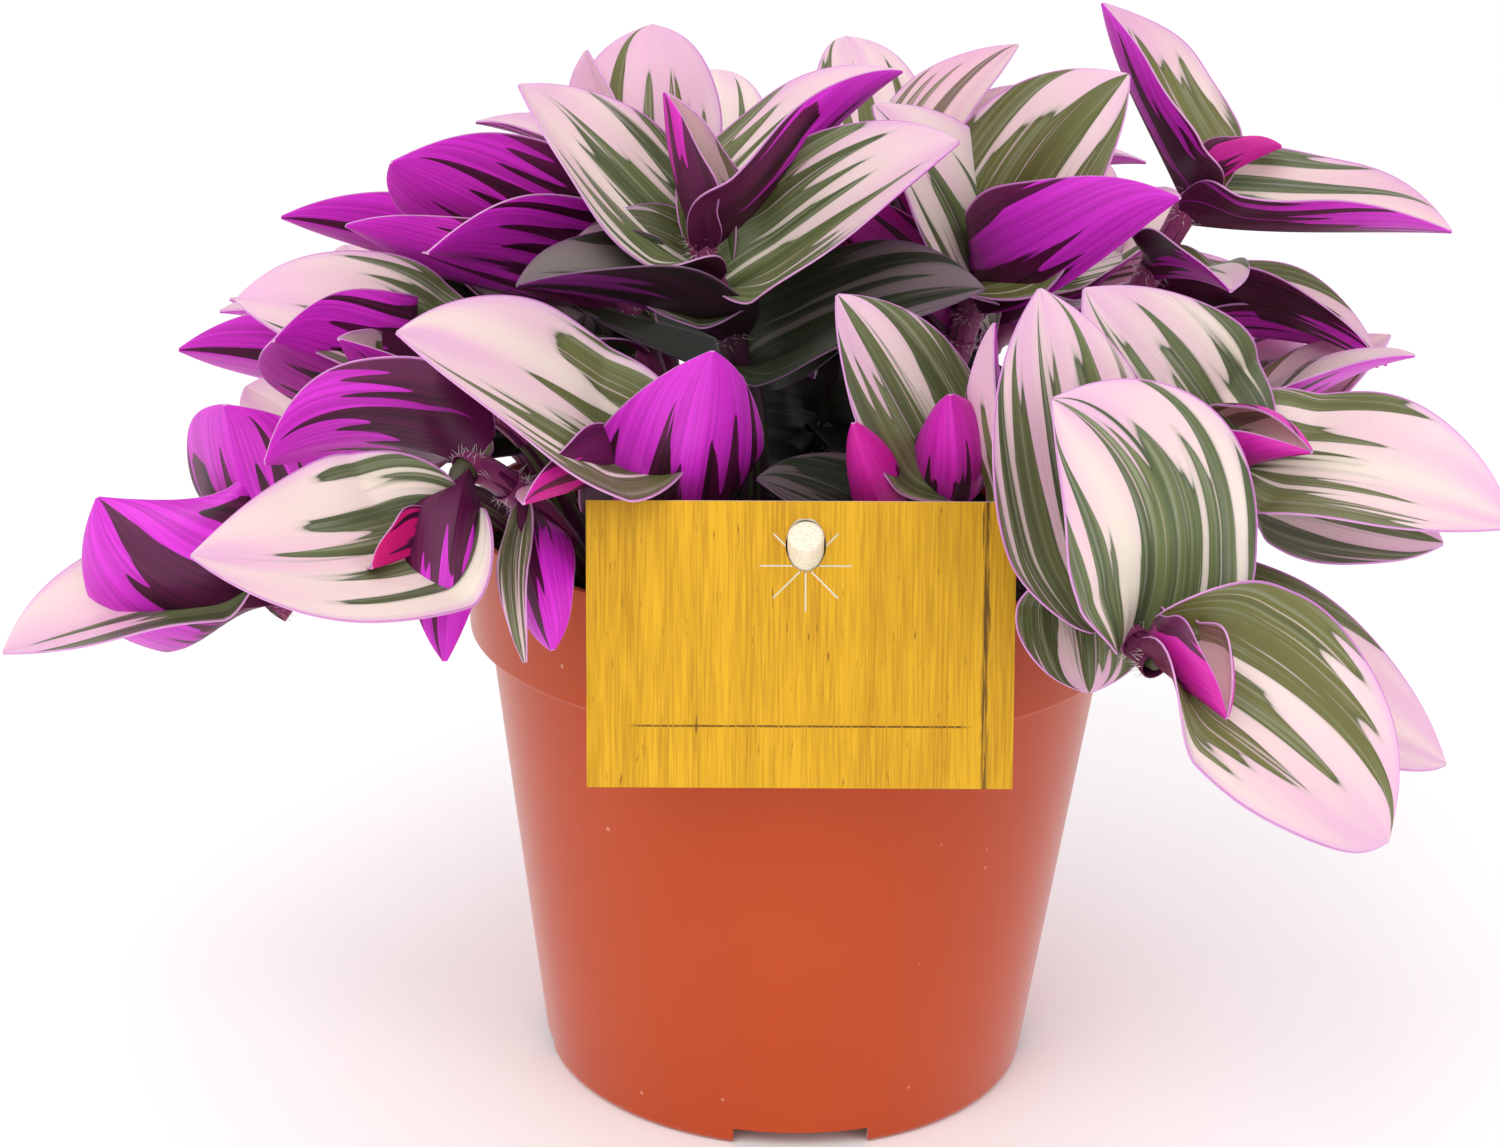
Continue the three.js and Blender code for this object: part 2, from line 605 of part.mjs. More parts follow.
// The middle surface of a blade: rows of points from the stem to the tip.
function bladeGrid(spec, base, root, columns, extraEdge) {
  const tip = new THREE.Vector3(...spec.tip);
  const chord = tip.clone().sub(base);
  const ahead = chord.clone().normalize();
  const face = new THREE.Vector3(...spec.face);
  face.addScaledVector(ahead, -face.dot(ahead)).normalize();
  const side = ahead.clone().cross(face);
  const bow = (share, arch, sway) => base.clone().addScaledVector(chord, share)
    .addScaledVector(face, arch).addScaledVector(side, sway);
  const midrib = new THREE.CubicBezierCurve3(
    base,
    bow(1 / 3, spec.arch[0], spec.sway[0]),
    bow(2 / 3, spec.arch[1], spec.sway[1]),
    tip,
  );
  const [vee, left, right] = spec.cup.map(THREE.MathUtils.degToRad);
  const baseVee = THREE.MathUtils.degToRad(BLADE.baseVee);
  const baseCup = THREE.MathUtils.degToRad(BLADE.baseCup);
  return BLADE.rows.map((t) => {
    const centre = midrib.getPoint(t);
    const tangent = midrib.getTangent(Math.min(t, BLADE.lastTurn));
    const normal = face.clone().addScaledVector(tangent, -face.dot(tangent)).normalize();
    const across = tangent.clone().cross(normal);
    const clasp = 1 - smoothstep(0, BLADE.clasp, t);
    const half = (t === 0 ? root : (outline(t) * spec.width) / 2) + extraEdge;
    if (extraEdge > 0 && t === 1) centre.addScaledVector(tangent, extraEdge);
    return columns.map((q) => {
      const from = vee + (baseVee - vee) * clasp;
      const margin = q > 0 ? right : left;
      const change = margin + (baseCup - margin) * clasp - from;
      const angle = from + change * Math.abs(q);
      const x = half * (Math.sin(angle) - Math.sin(from)) / change;
      const z = half * (Math.cos(from) - Math.cos(angle)) / change;
      return centre.clone().addScaledVector(across, x * Math.sign(q)).addScaledVector(normal, z);
    });
  });
}

function gridNormal(grid, i, j) {
  const last = grid.length - 1;
  const row = grid[Math.min(i, last - 1)];
  const along = grid[Math.min(i + 1, last)][j].clone().sub(grid[Math.max(i - 1, 0)][j]);
  const across = row[Math.min(j + 1, row.length - 1)].clone().sub(row[Math.max(j - 1, 0)]);
  return across.cross(along).normalize();
}

// A blade of even thickness. Both faces are split into triangles along the same, shorter diagonals.
function bladeSolid(spec, base, root, extra = NO_ROOM) {
  const rolled = Math.max(...spec.cup) > BLADE.rolledFrom;
  const columns = rolled ? BLADE.rolledColumns : BLADE.columns;
  const grid = bladeGrid(spec, base, root, columns, extra.extraEdge);
  const half = (BLADE.thickness + extra.extraThickness) / 2;
  const points = [];
  const index = [];
  for (const sign of [1, -1]) {
    grid.forEach((row, i) => row.forEach((p, j) => {
      const q = p.clone().addScaledVector(gridNormal(grid, i, j), sign * half);
      points.push(q.x, q.y, q.z);
    }));
  }
  const wide = columns.length;
  const under = grid.length * wide;
  const quad = (a, b, c, d, even) => {
    if (even) index.push(a, b, c, a, c, d);
    else index.push(a, b, d, b, c, d);
  };
  for (let i = 0; i + 1 < grid.length; i += 1) {
    for (let j = 0; j + 1 < wide; j += 1) {
      const a = i * wide + j;
      const even = grid[i][j].distanceTo(grid[i + 1][j + 1]) < grid[i][j + 1].distanceTo(grid[i + 1][j]);
      quad(a, a + 1, a + wide + 1, a + wide, even);
      quad(under + a, under + a + wide, under + a + wide + 1, under + a + 1, even);
    }
    const left = i * wide;
    const right = left + wide - 1;
    quad(left, left + wide, under + left + wide, under + left, true);
    quad(right, under + right, under + right + wide, right + wide, true);
  }
  for (const [row, flip] of [[0, false], [(grid.length - 1) * wide, true]]) {
    for (let j = 0; j + 1 < wide; j += 1) {
      const [a, b] = flip ? [row + j + 1, row + j] : [row + j, row + j + 1];
      quad(a, under + a, under + b, b, true);
    }
  }
  const geometry = new THREE.BufferGeometry();
  geometry.setAttribute('position', new THREE.Float32BufferAttribute(points, 3));
  geometry.setIndex(index);
  return solidFrom(geometry);
}

// Where a blade starts: on the straight pieces between the middles of its stem's rings.
function bladeBase(curve, at) {
  const step = Math.min(Math.floor(at * STEM.steps), STEM.steps - 1);
  const start = curve.getPoint(step / STEM.steps);
  return start.lerp(curve.getPoint((step + 1) / STEM.steps), at * STEM.steps - step);
}

function bladesOf(shoot, extra) {
  const curve = stemCurve(shoot.stem);
  const root = shoot.radius * BLADE.rootShare;
  return shoot.blades.map((spec) => bladeSolid(spec, bladeBase(curve, spec.at), root, extra));
}

// ---------------------------------------------------------------- assembly
const group = new THREE.Group();

function addPiece(name, solid, finish) {
  const material = new THREE.MeshStandardMaterial({ ...finish, metalness: 0 });
  const mesh = new THREE.Mesh(geometryFrom(solid), material);
  mesh.name = name;
  group.add(mesh);
}

const shoots = [...SHOOTS, ...BACK_SHOOTS.map(backShoot)];
const stems = shoots.map((shoot) => stemSolid(shoot));
const stemRooms = shoots.map((shoot) => stemSolid(shoot, CLEARANCE));

// What a blade has to keep clear of, besides the other shoots: the pot and what it is filled
// with, the card and the stick.
const potRoom = turned([
  [0, -UNDER_POT],
  [POT.baseRadius + CLEARANCE, -UNDER_POT],
  [POT.bodyRadius + CLEARANCE, POT.bandBottom - CLEARANCE],
  [POT.rimRadius + CLEARANCE, POT.bandBottom - CLEARANCE],
  [POT.rimRadius + CLEARANCE, POT.height + CLEARANCE],
  [POT.rimRadius - POT.wall - CLEARANCE, POT.height + CLEARANCE],
  [POT.rimRadius - POT.wall - CLEARANCE, SOIL.rimLevel + CLEARANCE],
  [POT.rimRadius * SOIL.slope[1][0], SOIL.crown + CLEARANCE],
  [0, SOIL.crown + CLEARANCE],
], POT.sides);
const fixedRooms = [potRoom, stick(CLEARANCE), card(CLEARANCE)];

const placed = [];
shoots.forEach((shoot, i) => {
  const others = stemRooms.filter((room, k) => k !== i);
  const rooms = wasm.Manifold.union([...fixedRooms, ...others, ...placed]);
  const blades = bladesOf(shoot).map((solid) => solid.subtract(rooms));
  const whole = simplified(wasm.Manifold.union([stems[i], ...blades]), STEM.simplify);
  placed.push(...bladesOf(shoot, CLEAR_BLADE));
  addPiece(shoot.name, whole, FINISH.leaf);
});

addPiece('pot', pot(), FINISH.pot);
addPiece('soil', soil(wasm.Manifold.union([...stemRooms, stick(CLEARANCE)])), FINISH.soil);
addPiece('label_stick', stick(), FINISH.stick);
addPiece('label_card', card(), FINISH.card);

export default group;
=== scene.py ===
"""A potted tradescantia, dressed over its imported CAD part: striped leaves on clasping sheaths and
hairy stems, a moulded nursery pot with potting mix, and a plain wood-print card on a stick.

Lengths in the tables are millimetres, in the part's own frame: the pot's axis is Z, it stands on
z = 0, and the front is towards -Y.
"""
import json
import math
from types import SimpleNamespace

import bpy
import numpy as np
from mathutils import Matrix, Vector

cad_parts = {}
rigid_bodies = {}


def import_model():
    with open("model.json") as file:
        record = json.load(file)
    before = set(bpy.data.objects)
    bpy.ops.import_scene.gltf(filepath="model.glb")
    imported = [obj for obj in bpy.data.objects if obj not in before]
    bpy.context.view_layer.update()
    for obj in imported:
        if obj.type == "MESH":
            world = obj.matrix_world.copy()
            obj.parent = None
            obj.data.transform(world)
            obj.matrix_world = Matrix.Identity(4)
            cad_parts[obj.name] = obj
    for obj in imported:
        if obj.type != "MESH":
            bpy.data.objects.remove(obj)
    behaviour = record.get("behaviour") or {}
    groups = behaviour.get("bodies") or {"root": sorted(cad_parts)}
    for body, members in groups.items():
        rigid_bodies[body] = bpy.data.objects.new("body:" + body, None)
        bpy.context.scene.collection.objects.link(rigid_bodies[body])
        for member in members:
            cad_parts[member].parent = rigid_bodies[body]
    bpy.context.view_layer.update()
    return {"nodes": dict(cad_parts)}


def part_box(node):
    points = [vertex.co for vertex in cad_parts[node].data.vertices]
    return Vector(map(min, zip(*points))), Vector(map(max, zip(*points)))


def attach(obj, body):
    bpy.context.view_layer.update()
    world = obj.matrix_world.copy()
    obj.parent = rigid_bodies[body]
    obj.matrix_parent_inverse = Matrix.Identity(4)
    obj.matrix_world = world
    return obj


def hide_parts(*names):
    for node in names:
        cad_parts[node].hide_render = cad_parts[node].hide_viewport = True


bl_info = {
    "name": "Potted tradescantia",
    "version": (1, 0, 0),
    "blender": (4, 5, 0),
    "location": "3D View > Sidebar > Tradescantia",
    "description": "Leafy stems, pot, potting mix, card and stick of a potted tradescantia",
    "category": "Object",
}

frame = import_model()
MM = 0.001

# ---------------------------------------------------------------- sizes, in millimetres
POT_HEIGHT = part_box("pot")[1].z / MM
POT_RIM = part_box("pot")[1].x / MM  # radius over the rim
BAND_BOTTOM, BAND_RADIUS, BODY_RADIUS, BASE_RADIUS = 83.5, 59.6, 56.1, 45.5
WALL, FLOOR_RISE, PAD_RADIUS = 1.2, 4.2, 7.0
NOTCH_COUNT, NOTCH_WIDTH, NOTCH_DEPTH, NOTCH_HEIGHT, NOTCH_TURN = 4, 24.0, 12, 3.4, 3.7
DRAIN_COUNT, DRAIN_RADIUS, DRAIN_CIRCLE, DRAIN_DEPTH = 8, 3.5, 31.0, 8
# Radius of each rounded corner of the pot's profile, from the outer side of its foot round to the
# inner side of its floor.
POT_ROUNDING = {5: 1.6, 6: 0.8, 7: 1.0, 8: 0.45, 9: 0.45, 10: 0.8, 11: 0.8, 12: 1.0}
SOIL_LEVEL, SOIL_CROWN = 94.5, 98.0

# The card's slits lie round a point that is a little below the stick, which they let through.
CARD_SIZE, CARD_THICKNESS = (68.0, 46.0), 0.5
CARD_CENTRE, CARD_LEAN, CARD_ROLL = (-0.4, -61.8, 101.4), 12.0, 1.2
STICK_RADIUS, STICK_ROUNDING, STICK_PAST, STICK_ROOM = 2.9, 0.8, 3.0, 0.3
STICK_FROM, STICK_THROUGH = (1.5, -24.0, 71.0), (0.0, -58.5, 117.0)
SLIT_COUNT, SLIT_LENGTH, SLIT_ABOVE, SLIT_DEPTH = 8, 7.3, -3.2, 0.3

# A stem's height at the soil and at its foot inside it, how much it tapers, and its tip.
STEM_FOOT, STEM_SUNK, STEM_TAPER, TIP_LENGTH, TIP_SHARE = 90.0, 77.0, 0.3, 3.0, 0.35
# A sheath's share below its blade, its gap round the stem, how far its rim widens, and its wall.
SHEATH_BELOW, SHEATH_GAP, SHEATH_FLARE, SHEATH_WALL = 0.75, 0.25, 0.4, 0.22
# A blade's outline: how blunt its foot is, how it tapers, how it runs out in a point, its peak.
BLUNT, TAPER, POINT_SHARE, POINT_POWER, PEAK = 0.03, 0.75, 0.06, 0.3, 0.4474
# The share of a blade that clasps its stem, and how far its midrib and margins tilt there.
CLASP, BASE_VEE, BASE_CUP = 0.28, 50.0, 95.0
# A blade's midrib: half its width as a share of the blade's, how far it sinks above and stands
# out below. Its waves: how many along it, their height against the middle, and the right's lead.
RIB_SHARE, RIB_SUNK, RIB_PROUD = 0.06, 0.12, 0.25
WAVES, WAVE_GAIN, WAVE_LEAD = 1.6, 1.5, 1.3
# Crumbs and hairs: how many grow on a square metre, and the least and most of their scales and
# turns. A hair leans a little and thins out to its tip.
CRUMB_DENSITY, HAIR_DENSITY, HAIR_TIP = 190000.0, 1.1e6, 0.008
CRUMB_SCALES = (0.25, 0.25, 0.2), (1.1, 0.9, 0.7)
CRUMB_TURNS = (0.0, 0.0, 0.0), (6.28, 6.28, 6.28)
HAIR_SCALES = (1.0, 1.0, 0.35), (1.0, 1.0, 1.0)
HAIR_LEANS = (-0.7, -0.7, 0.0), (0.7, 0.7, 6.28)
# How far apart two faces may look, in degrees, for the edge between them to be drawn smooth.
LEAF_SMOOTH, SOLID_SMOOTH = 50, 35

# How many zones, stripes, ends of stripes, fine lines and veins lie across a blade, how much they
# wander along it, and how rough they are. The veins are a low ripple: its depth and strength.
STREAKS = ((5.0, 0.4, 0.0), (14.0, 0.3, 0.5), (13.0, 0.0, 0.0), (48.0, 1.0, 1.0), (60.0, 1.0, 2.0))
VEIN_RELIEF = 0.15, 0.5

# The card's print: width, height and roughness of its boards, grain, nicks and wobble. Then, for
# the long crack near its right edge and the ruled line near its foot, the axis across it, its
# place and half width there, the axis along it, half its length, and how far it bends.
PRINTED_GRAIN = ((5.0, 70.0, 2.0), (0.4, 12.0, 3.0), (0.8, 5.0, 2.0), (1.5, 9.0, 2.0))
PRINTED_LINES = ((0, 29.3, 0.5, 2, 30.0, 1.6), (2, -13.0, 0.16, 0, 27.5, 0.1))

# The studio, in metres: half the floor's width, then each lamp's place and width.
FLOOR_REACH = 3
LAMPS = {"key": ((-0.35, -0.75, 0.95), 0.6), "fill": ((0.7, -0.6, 0.55), 0.5)}

# The photograph's camera, fitted to the pot's rim, band and foot.
IMAGE_WIDTH, FOCAL_PIXELS = 1500, 2542.0
CAMERA_AIM, CAMERA_DISTANCE = (-8.7, 0.0, 92.2), 465.0
CAMERA_ELEVATION, CAMERA_ROLL = 18.8, 1.46


# ---------------------------------------------------------------- the plant, stem by stem
def leaf(at, tip, face, width, arch, cup=(14, 30, 30), sway=(0, 0), green=(0.5, 0.5), pink=0.5,
         young=0.0, shade=0.0, clasp=1.0):
    """One blade: where it leaves its stem (share), its tip, where its upper side looks, its width,
    the bow of its midrib at one and two thirds, the tilt in degrees at the midrib and at the left
    and right margins, and its sideways swing. green says how far up the green streaks of its left
    and right halves reach, pink how pink its pale zones are, young how crimson it still is, and
    shade how much painted shade darkens it, for the shade that falls deep in the plant. clasp is
    how much its foot curls round."""
    return {
        "at": at, "tip": np.array(tip, float), "face": np.array(face, float), "width": width,
        "arch": arch, "cup": cup, "sway": sway, "green": green, "pink": pink, "young": young,
        "shade": shade, "clasp": clasp,
    }


# A blade's shade paints shade over it: the deeper it lies in the plant, the darker it is painted.
SHOOTS = [
    ("shoot_front_left", 2.6, [(-30, -28, 90), (-42, -41, 114), (-54, -50, 126), (-56, -56, 116)], [
        leaf(0.62, (-86, -54, 127), (0, 0.8, 0.6), 32, (6, 8)),
        leaf(0.66, (-55, -77, 103), (-0.2, 0.8, -0.7), 17, (-12, -7), (25, 40, 60), (-2, -2)),
        leaf(0.45, (-39, -71, 103), (0.3, 0.8, -0.6), 16, (-4, -3), (30, 60, 60)),
        leaf(0.4, (-43, -74, 102), (-0.2, -0.9, 0.3), 6, (6, 8), (20, 40, 40), green=(1.3, 1.3)),
        leaf(0.97, (-91, -86, 122), (0, -0.6, 0.8), 36, (0, 0), (10, 24, 24), (-6, -7),
             green=(0.65, 0.5)),
        leaf(1, (-66, -76, 117.5), (0.1, 0.95, 0.1), 13, (0, 0), (30, 50, 50), young=1),
    ]),
    ("shoot_far_left", 2.6, [(-36, -12, 90), (-58, -20, 112), (-76, -28, 111), (-87, -37, 98)], [
        leaf(0.55, (-98, -8, 127), (-0.3, -0.5, 0.8), 20, (5, 5), green=(0.3, 0.3)),
        leaf(0.9, (-93, -49, 135), (0.25, 0.95, 0), 34, (-3, 0), (20, 40, 40), (4, 2)),
        leaf(0.93, (-132, -47, 91), (-0.15, -0.35, 0.93), 32, (3, 4), (12, 26, 26), green=(0.4, 0.2)),
        leaf(1, (-115, -46, 118), (0.1, 0.95, 0.1), 46, (-10, -10), (10, 40, 45), (5, 6)),
    ]),
    ("shoot_left_of_card", 2.6, [(-14, -26, 90), (-20, -33, 107), (-27, -42, 124)], [
        leaf(0.4, (-12, -48, 142), (-0.5, 0.8, 0.2), 24, (3, 3), (20, 40, 40)),
        leaf(0.5, (-15.4, -58, 148), (-0.25, 0.9, -0.1), 36, (-9, -5), (12, 55, 30), (4, 2)),
        leaf(0.95, (-62, -72, 153), (0.3, -0.6, 0.75), 34, (2, 3), (10, 36, 28), green=(0.6, 0.35)),
        leaf(1, (-43, -75, 128), (-0.4, 0.7, 0.6), 18, (0, 0), (30, 60, 60), young=0.6),
    ]),
    ("shoot_left", 2.4, [(-36, 2, 90), (-48, -3, 116), (-64, -12, 132)], [
        leaf(0.7, (-109, -10, 134), (0, 0.85, 0.5), 26, (3, 3)),
        leaf(0.85, (-97, -18, 145), (-0.2, -0.55, 0.8), 30, (6, 8), (12, 28, 28), green=(0.7, 0.5)),
        leaf(0.95, (-87, -38, 143), (0.1, 0.95, 0.1), 30, (-2, 4), (14, 34, 34), (4, 3)),
        leaf(0.9, (-76, -40, 144), (0.6, 0.8, 0.1), 22, (-9, -6), (30, 60, 80)),
    ]),
    ("shoot_upper_left", 2.5, [(-18, 14, 90), (-25, 12, 120), (-34, 6, 146)], [
        leaf(0.7, (-76, 26, 158), (-0.2, -0.6, 0.75), 28, (5, 5), (12, 30, 30)),
        leaf(0.75, (-93, 4, 155), (0.1, 0.8, 0.6), 26, (5, 5)),
        leaf(0.85, (-79, -12, 157), (0.1, 0.75, 0.6), 22, (-3, 0)),
        leaf(0.95, (-63, -28, 156), (0.15, 0.85, 0.45), 30, (2, 4), (14, 34, 34)),
        leaf(1, (-71, -12, 168), (0.15, 0.92, 0.3), 34, (2, 4), (12, 28, 28), (3, 3)),
    ]),
    ("shoot_top_centre", 2.7, [(-8, -4, 90), (-9, -9, 124), (-18, -11, 154)], [
        leaf(0.72, (-47, -42, 154), (0.25, -0.1, 1), 28, (3, 3), (30, 65, 50), green=(1, 0.9),
             shade=0.75),
        leaf(0.62, (28, -36, 154), (-0.3, -0.5, 0.8), 30, (4, 5), (14, 34, 34), green=(1, 0.9),
             shade=0.8),
        leaf(0.8, (-40, -16, 156), (0, -0.6, 0.8), 26, (3, 3), (14, 34, 34), green=(0.8, 0.8),
             shade=0.4),
        leaf(0.86, (23, -32, 177), (-0.5, -0.55, 0.65), 33, (-2, 2), (14, 28, 45), green=(0.6, 0.7)),
        leaf(0.9, (-49, -16, 182), (0.6, -0.5, 0.6), 32, (-4, -2), (14, 34, 34), green=(0.6, 0.7)),
        leaf(0.97, (15, -2, 184), (-0.6, -0.25, 0.72), 32, (0, 3), (30, 40, 70), green=(0.5, 0.6)),
        leaf(1, (-25, -13, 181), (0.8, -0.4, 0.3), 21, (-3, -2), (40, 90, 90), young=0.3),
    ]),
    ("shoot_top_behind", 2.5, [(-12, 20, 90), (-20, 22, 130), (-28, 14, 158)], [
        leaf(0.95, (-29, 30, 187), (-0.2, -0.8, 0.5), 30, (4, 4), (12, 30, 30), pink=0.8),
        leaf(1, (-40, 15, 184), (-0.6, -0.7, 0.3), 18, (2, 2), (30, 50, 50), pink=1),
    ]),
    ("shoot_top_right", 2.7, [(16, 4, 90), (24, 1, 122), (30, -3, 148)], [
        leaf(0.75, (0, -14, 163), (0, 0.8, 0.5), 22, (3, 3), (14, 34, 34), young=0.4),
        leaf(0.85, (12, 4, 170), (0.3, 0.8, 0.5), 20, (3, 3), (14, 34, 34), young=0.4),
        leaf(0.9, (58, -38, 170), (-0.1, 0.5, 0.85), 40, (-8, -2), (30, 75, 75)),
        leaf(0.95, (10, -8, 179), (0.4, -0.7, 0.6), 26, (6, 6), (12, 30, 30)),
        leaf(1, (52, -14, 186), (-0.5, -0.75, 0.35), 34, (2, 8), (12, 26, 26), green=(1, 1)),
    ]),
    ("shoot_upper_right", 2.6, [(38, 12, 90), (54, 12, 130), (68, 8, 162)], [
        leaf(0.75, (72, -14, 150), (0, 0.6, 0.7), 22, (2, 2), (20, 40, 40)),
        leaf(0.93, (110, -8, 160), (0, -0.25, 1), 30, (-2, 0), (30, 60, 60), green=(0.5, 0.7)),
        leaf(0.97, (50, 10, 195), (0.8, -0.4, 0.4), 32, (0, -3), (30, 55, 55), green=(0.3, 0.7)),
        leaf(1, (82, 4, 172), (-0.3, 0.5, 0.8), 12, (1, 1), (45, 80, 80), young=0.6),
    ]),
    ("shoot_right_behind", 2.4, [(42, 26, 90), (56, 28, 118), (64, 28, 137)], [
        leaf(0.8, (110, 26, 128), (0, 0.2, 1), 26, (5, 5), (14, 34, 34)),
        leaf(1, (105, 12, 131), (0, 0.1, 1), 28, (5, 5), (28, 55, 55), green=(0.9, 0.9)),
    ]),
    ("shoot_right", 2.6, [(38, -16, 90), (56, -32, 118), (68, -46, 128)], [
        leaf(0.85, (104, -46, 116), (0, -0.6, 0.8), 29, (-2, -2), green=(1, 0.9)),
        leaf(0.95, (42, -52, 158), (0.3, -0.8, 0.5), 34, (3, 5), (10, 26, 26), (-3, -3),
             green=(0.9, 0.8)),
        leaf(0.97, (108, -68, 126), (0.1, -0.55, 0.8), 32, (4, 6), (10, 26, 26), green=(0.3, 0.6)),
        leaf(1, (77, -64, 136), (-0.4, -0.4, 0.8), 27, (0, 2), (10, 150, 120), young=0.5),
    ]),
    ("shoot_front_right", 2.7, [(27, -31, 90), (36, -46, 112), (45, -62, 111), (52, -77, 107)], [
        leaf(0.4, (28, -56, 153), (-0.9, -0.3, 0.1), 16, (2, 2), (20, 40, 40), pink=1),
        leaf(0.6, (45, -68, 97), (0, -0.9, 0.4), 24, (2, 2), (14, 34, 34), green=(1, 1)),
        leaf(0.8, (34, -62, 160), (0.1, -0.9, 0.35), 31, (0, 1), (14, 30, 18), (-2, -1), green=(0.8, 1),
             clasp=0.3),
        leaf(0.7, (106, -55, 81), (0.4, -0.5, 0.75), 36, (0, 3), (12, 30, 30)),
        leaf(0.9, (35, -78, 147), (0.36, -0.84, 0.4), 39, (6, 4), (10, 26, 15), (8, 8), green=(0.7,
             0.8),
             clasp=0.4),
        leaf(1, (90, -84, 80), (0.4, -0.7, 0.6), 39, (8, 5), (12, 28, 28), green=(0.6, 0.4)),
        leaf(1, (62, -92, 103), (0.5, -0.4, 0.8), 25, (0, 0), (10, 140, 120), young=0.5),
    ]),
    ("shoot_behind_card", 2.4, [(12, -28, 90), (18, -34, 106), (25, -38, 121)], [
        leaf(0.5, (-8, -46, 124), (0, -0.5, 0.85), 22, (3, 3), (14, 34, 34), green=(1, 1), shade=0.85),
        leaf(0.5, (7, -54, 136), (0, 0.9, 0.2), 24, (-9, -5), (20, 110, 110), young=0.6),
        leaf(0.95, (4, -43, 154), (0.3, -0.8, 0.45), 25, (1, 3), (12, 28, 28), green=(0.8, 1)),
        leaf(0.8, (22, -54, 141), (0, 1, 0.1), 24, (-8, -4), (20, 90, 90), (-3, -2), young=0.3),
    ]),
    ("shoot_inner_right", 2.4, [(2, 20, 90), (4, 22, 116), (6, 19, 140)], [
        leaf(0.35, (-22, 0, 116), (0, -0.7, 0.7), 30, (4, 4), green=(1.2, 1.2), shade=0.95),
        leaf(0.45, (44, 10, 122), (0, -0.7, 0.7), 28, (4, 4), green=(1.2, 1.2), shade=0.95),
        leaf(0.75, (-45, 8, 143), (0, -0.7, 0.7), 34, (4, 4), green=(1.2, 1.2), shade=0.9),
        leaf(0.9, (46, 18, 150), (0, -0.7, 0.7), 32, (4, 4), green=(1.2, 1.2), shade=0.85),
        leaf(1, (14, 4, 165), (0, -0.8, 0.5), 24, (3, 3), (14, 34, 34), green=(1.2, 1.2), shade=0.85),
    ]),
    ("shoot_inner_left", 2.4, [(-32, 18, 90), (-42, 20, 112), (-50, 20, 128)], [
        leaf(0.5, (-25, 36, 118), (0.1, -0.8, 0.6), 24, (3, 3), green=(1, 1), shade=0.85),
        leaf(0.6, (-84, 12, 112), (-0.1, -0.7, 0.7), 26, (4, 4), green=(1, 1), shade=0.85),
        leaf(0.85, (-39, 1, 140), (0.4, -0.8, 0.3), 30, (4, 4), green=(1, 1), shade=0.85),
        leaf(1, (-82, 6, 134), (-0.2, -0.7, 0.7), 26, (4, 4), green=(1, 1), shade=0.85),
    ]),
]

# The stems at the back grow by one rule: azimuth in degrees round from +X, distances of foot and
# reach from the pot's axis, height, and count of blades.
BACK_SHOOTS = [
    ("shoot_back_right_low", 3, 46, 80, 112, 5),
    ("shoot_back_right", 48, 42, 76, 128, 5),
    ("shoot_back_middle", 84, 44, 78, 114, 5),
    ("shoot_back_left", 122, 42, 76, 130, 5),
    ("shoot_back_left_low", 160, 46, 80, 112, 5),
    ("shoot_back_upper_right", 68, 31, 40, 146, 6),
    ("shoot_back_upper_left", 118, 30, 44, 142, 5),
]
BACK_SEED, BACK_RADIUS, BACK_FIRST, BACK_WIDTH, BACK_JITTER = 31, 2.5, 0.4, 0.53, 7.0
BACK_LENGTH, BACK_SPREAD, BACK_RISE = (56.0, 46.0), (66.0, 26.0), (4.0, 48.0)
BACK_DROOP, BACK_LONG = 9.0, 60  # a stem that reaches further than this droops
BACK_PATH = ((0.25, 0.85), (0.65, 1.0))  # shares of its reach and height along it


# ---------------------------------------------------------------- curves and blades
def unit(rows):
    return rows / np.linalg.norm(rows, axis=-1, keepdims=True)


def smoothstep(low, high, value):
    x = np.clip((value - low) / (high - low), 0, 1)
    return x * x * (3 - 2 * x)


def stem_at(points, share):
    """A point of the smooth curve through a stem's points, and the direction of growth there."""
    spans = len(points) - 1
    k = min(int(share * spans), spans - 1)
    t = share * spans - k
    start, end = points[k], points[k + 1]
    before = points[k - 1] if k else 2 * start - end
    after = points[k + 2] if k + 2 <= spans else 2 * end - start
    leave, arrive = (end - before) / 2, (after - start) / 2
    square = 3 * (end - start) - 2 * leave - arrive
    cube = 2 * (start - end) + leave + arrive
    point = start + leave * t + square * t * t + cube * t ** 3
    return point, unit(leave + 2 * square * t + 3 * cube * t * t)


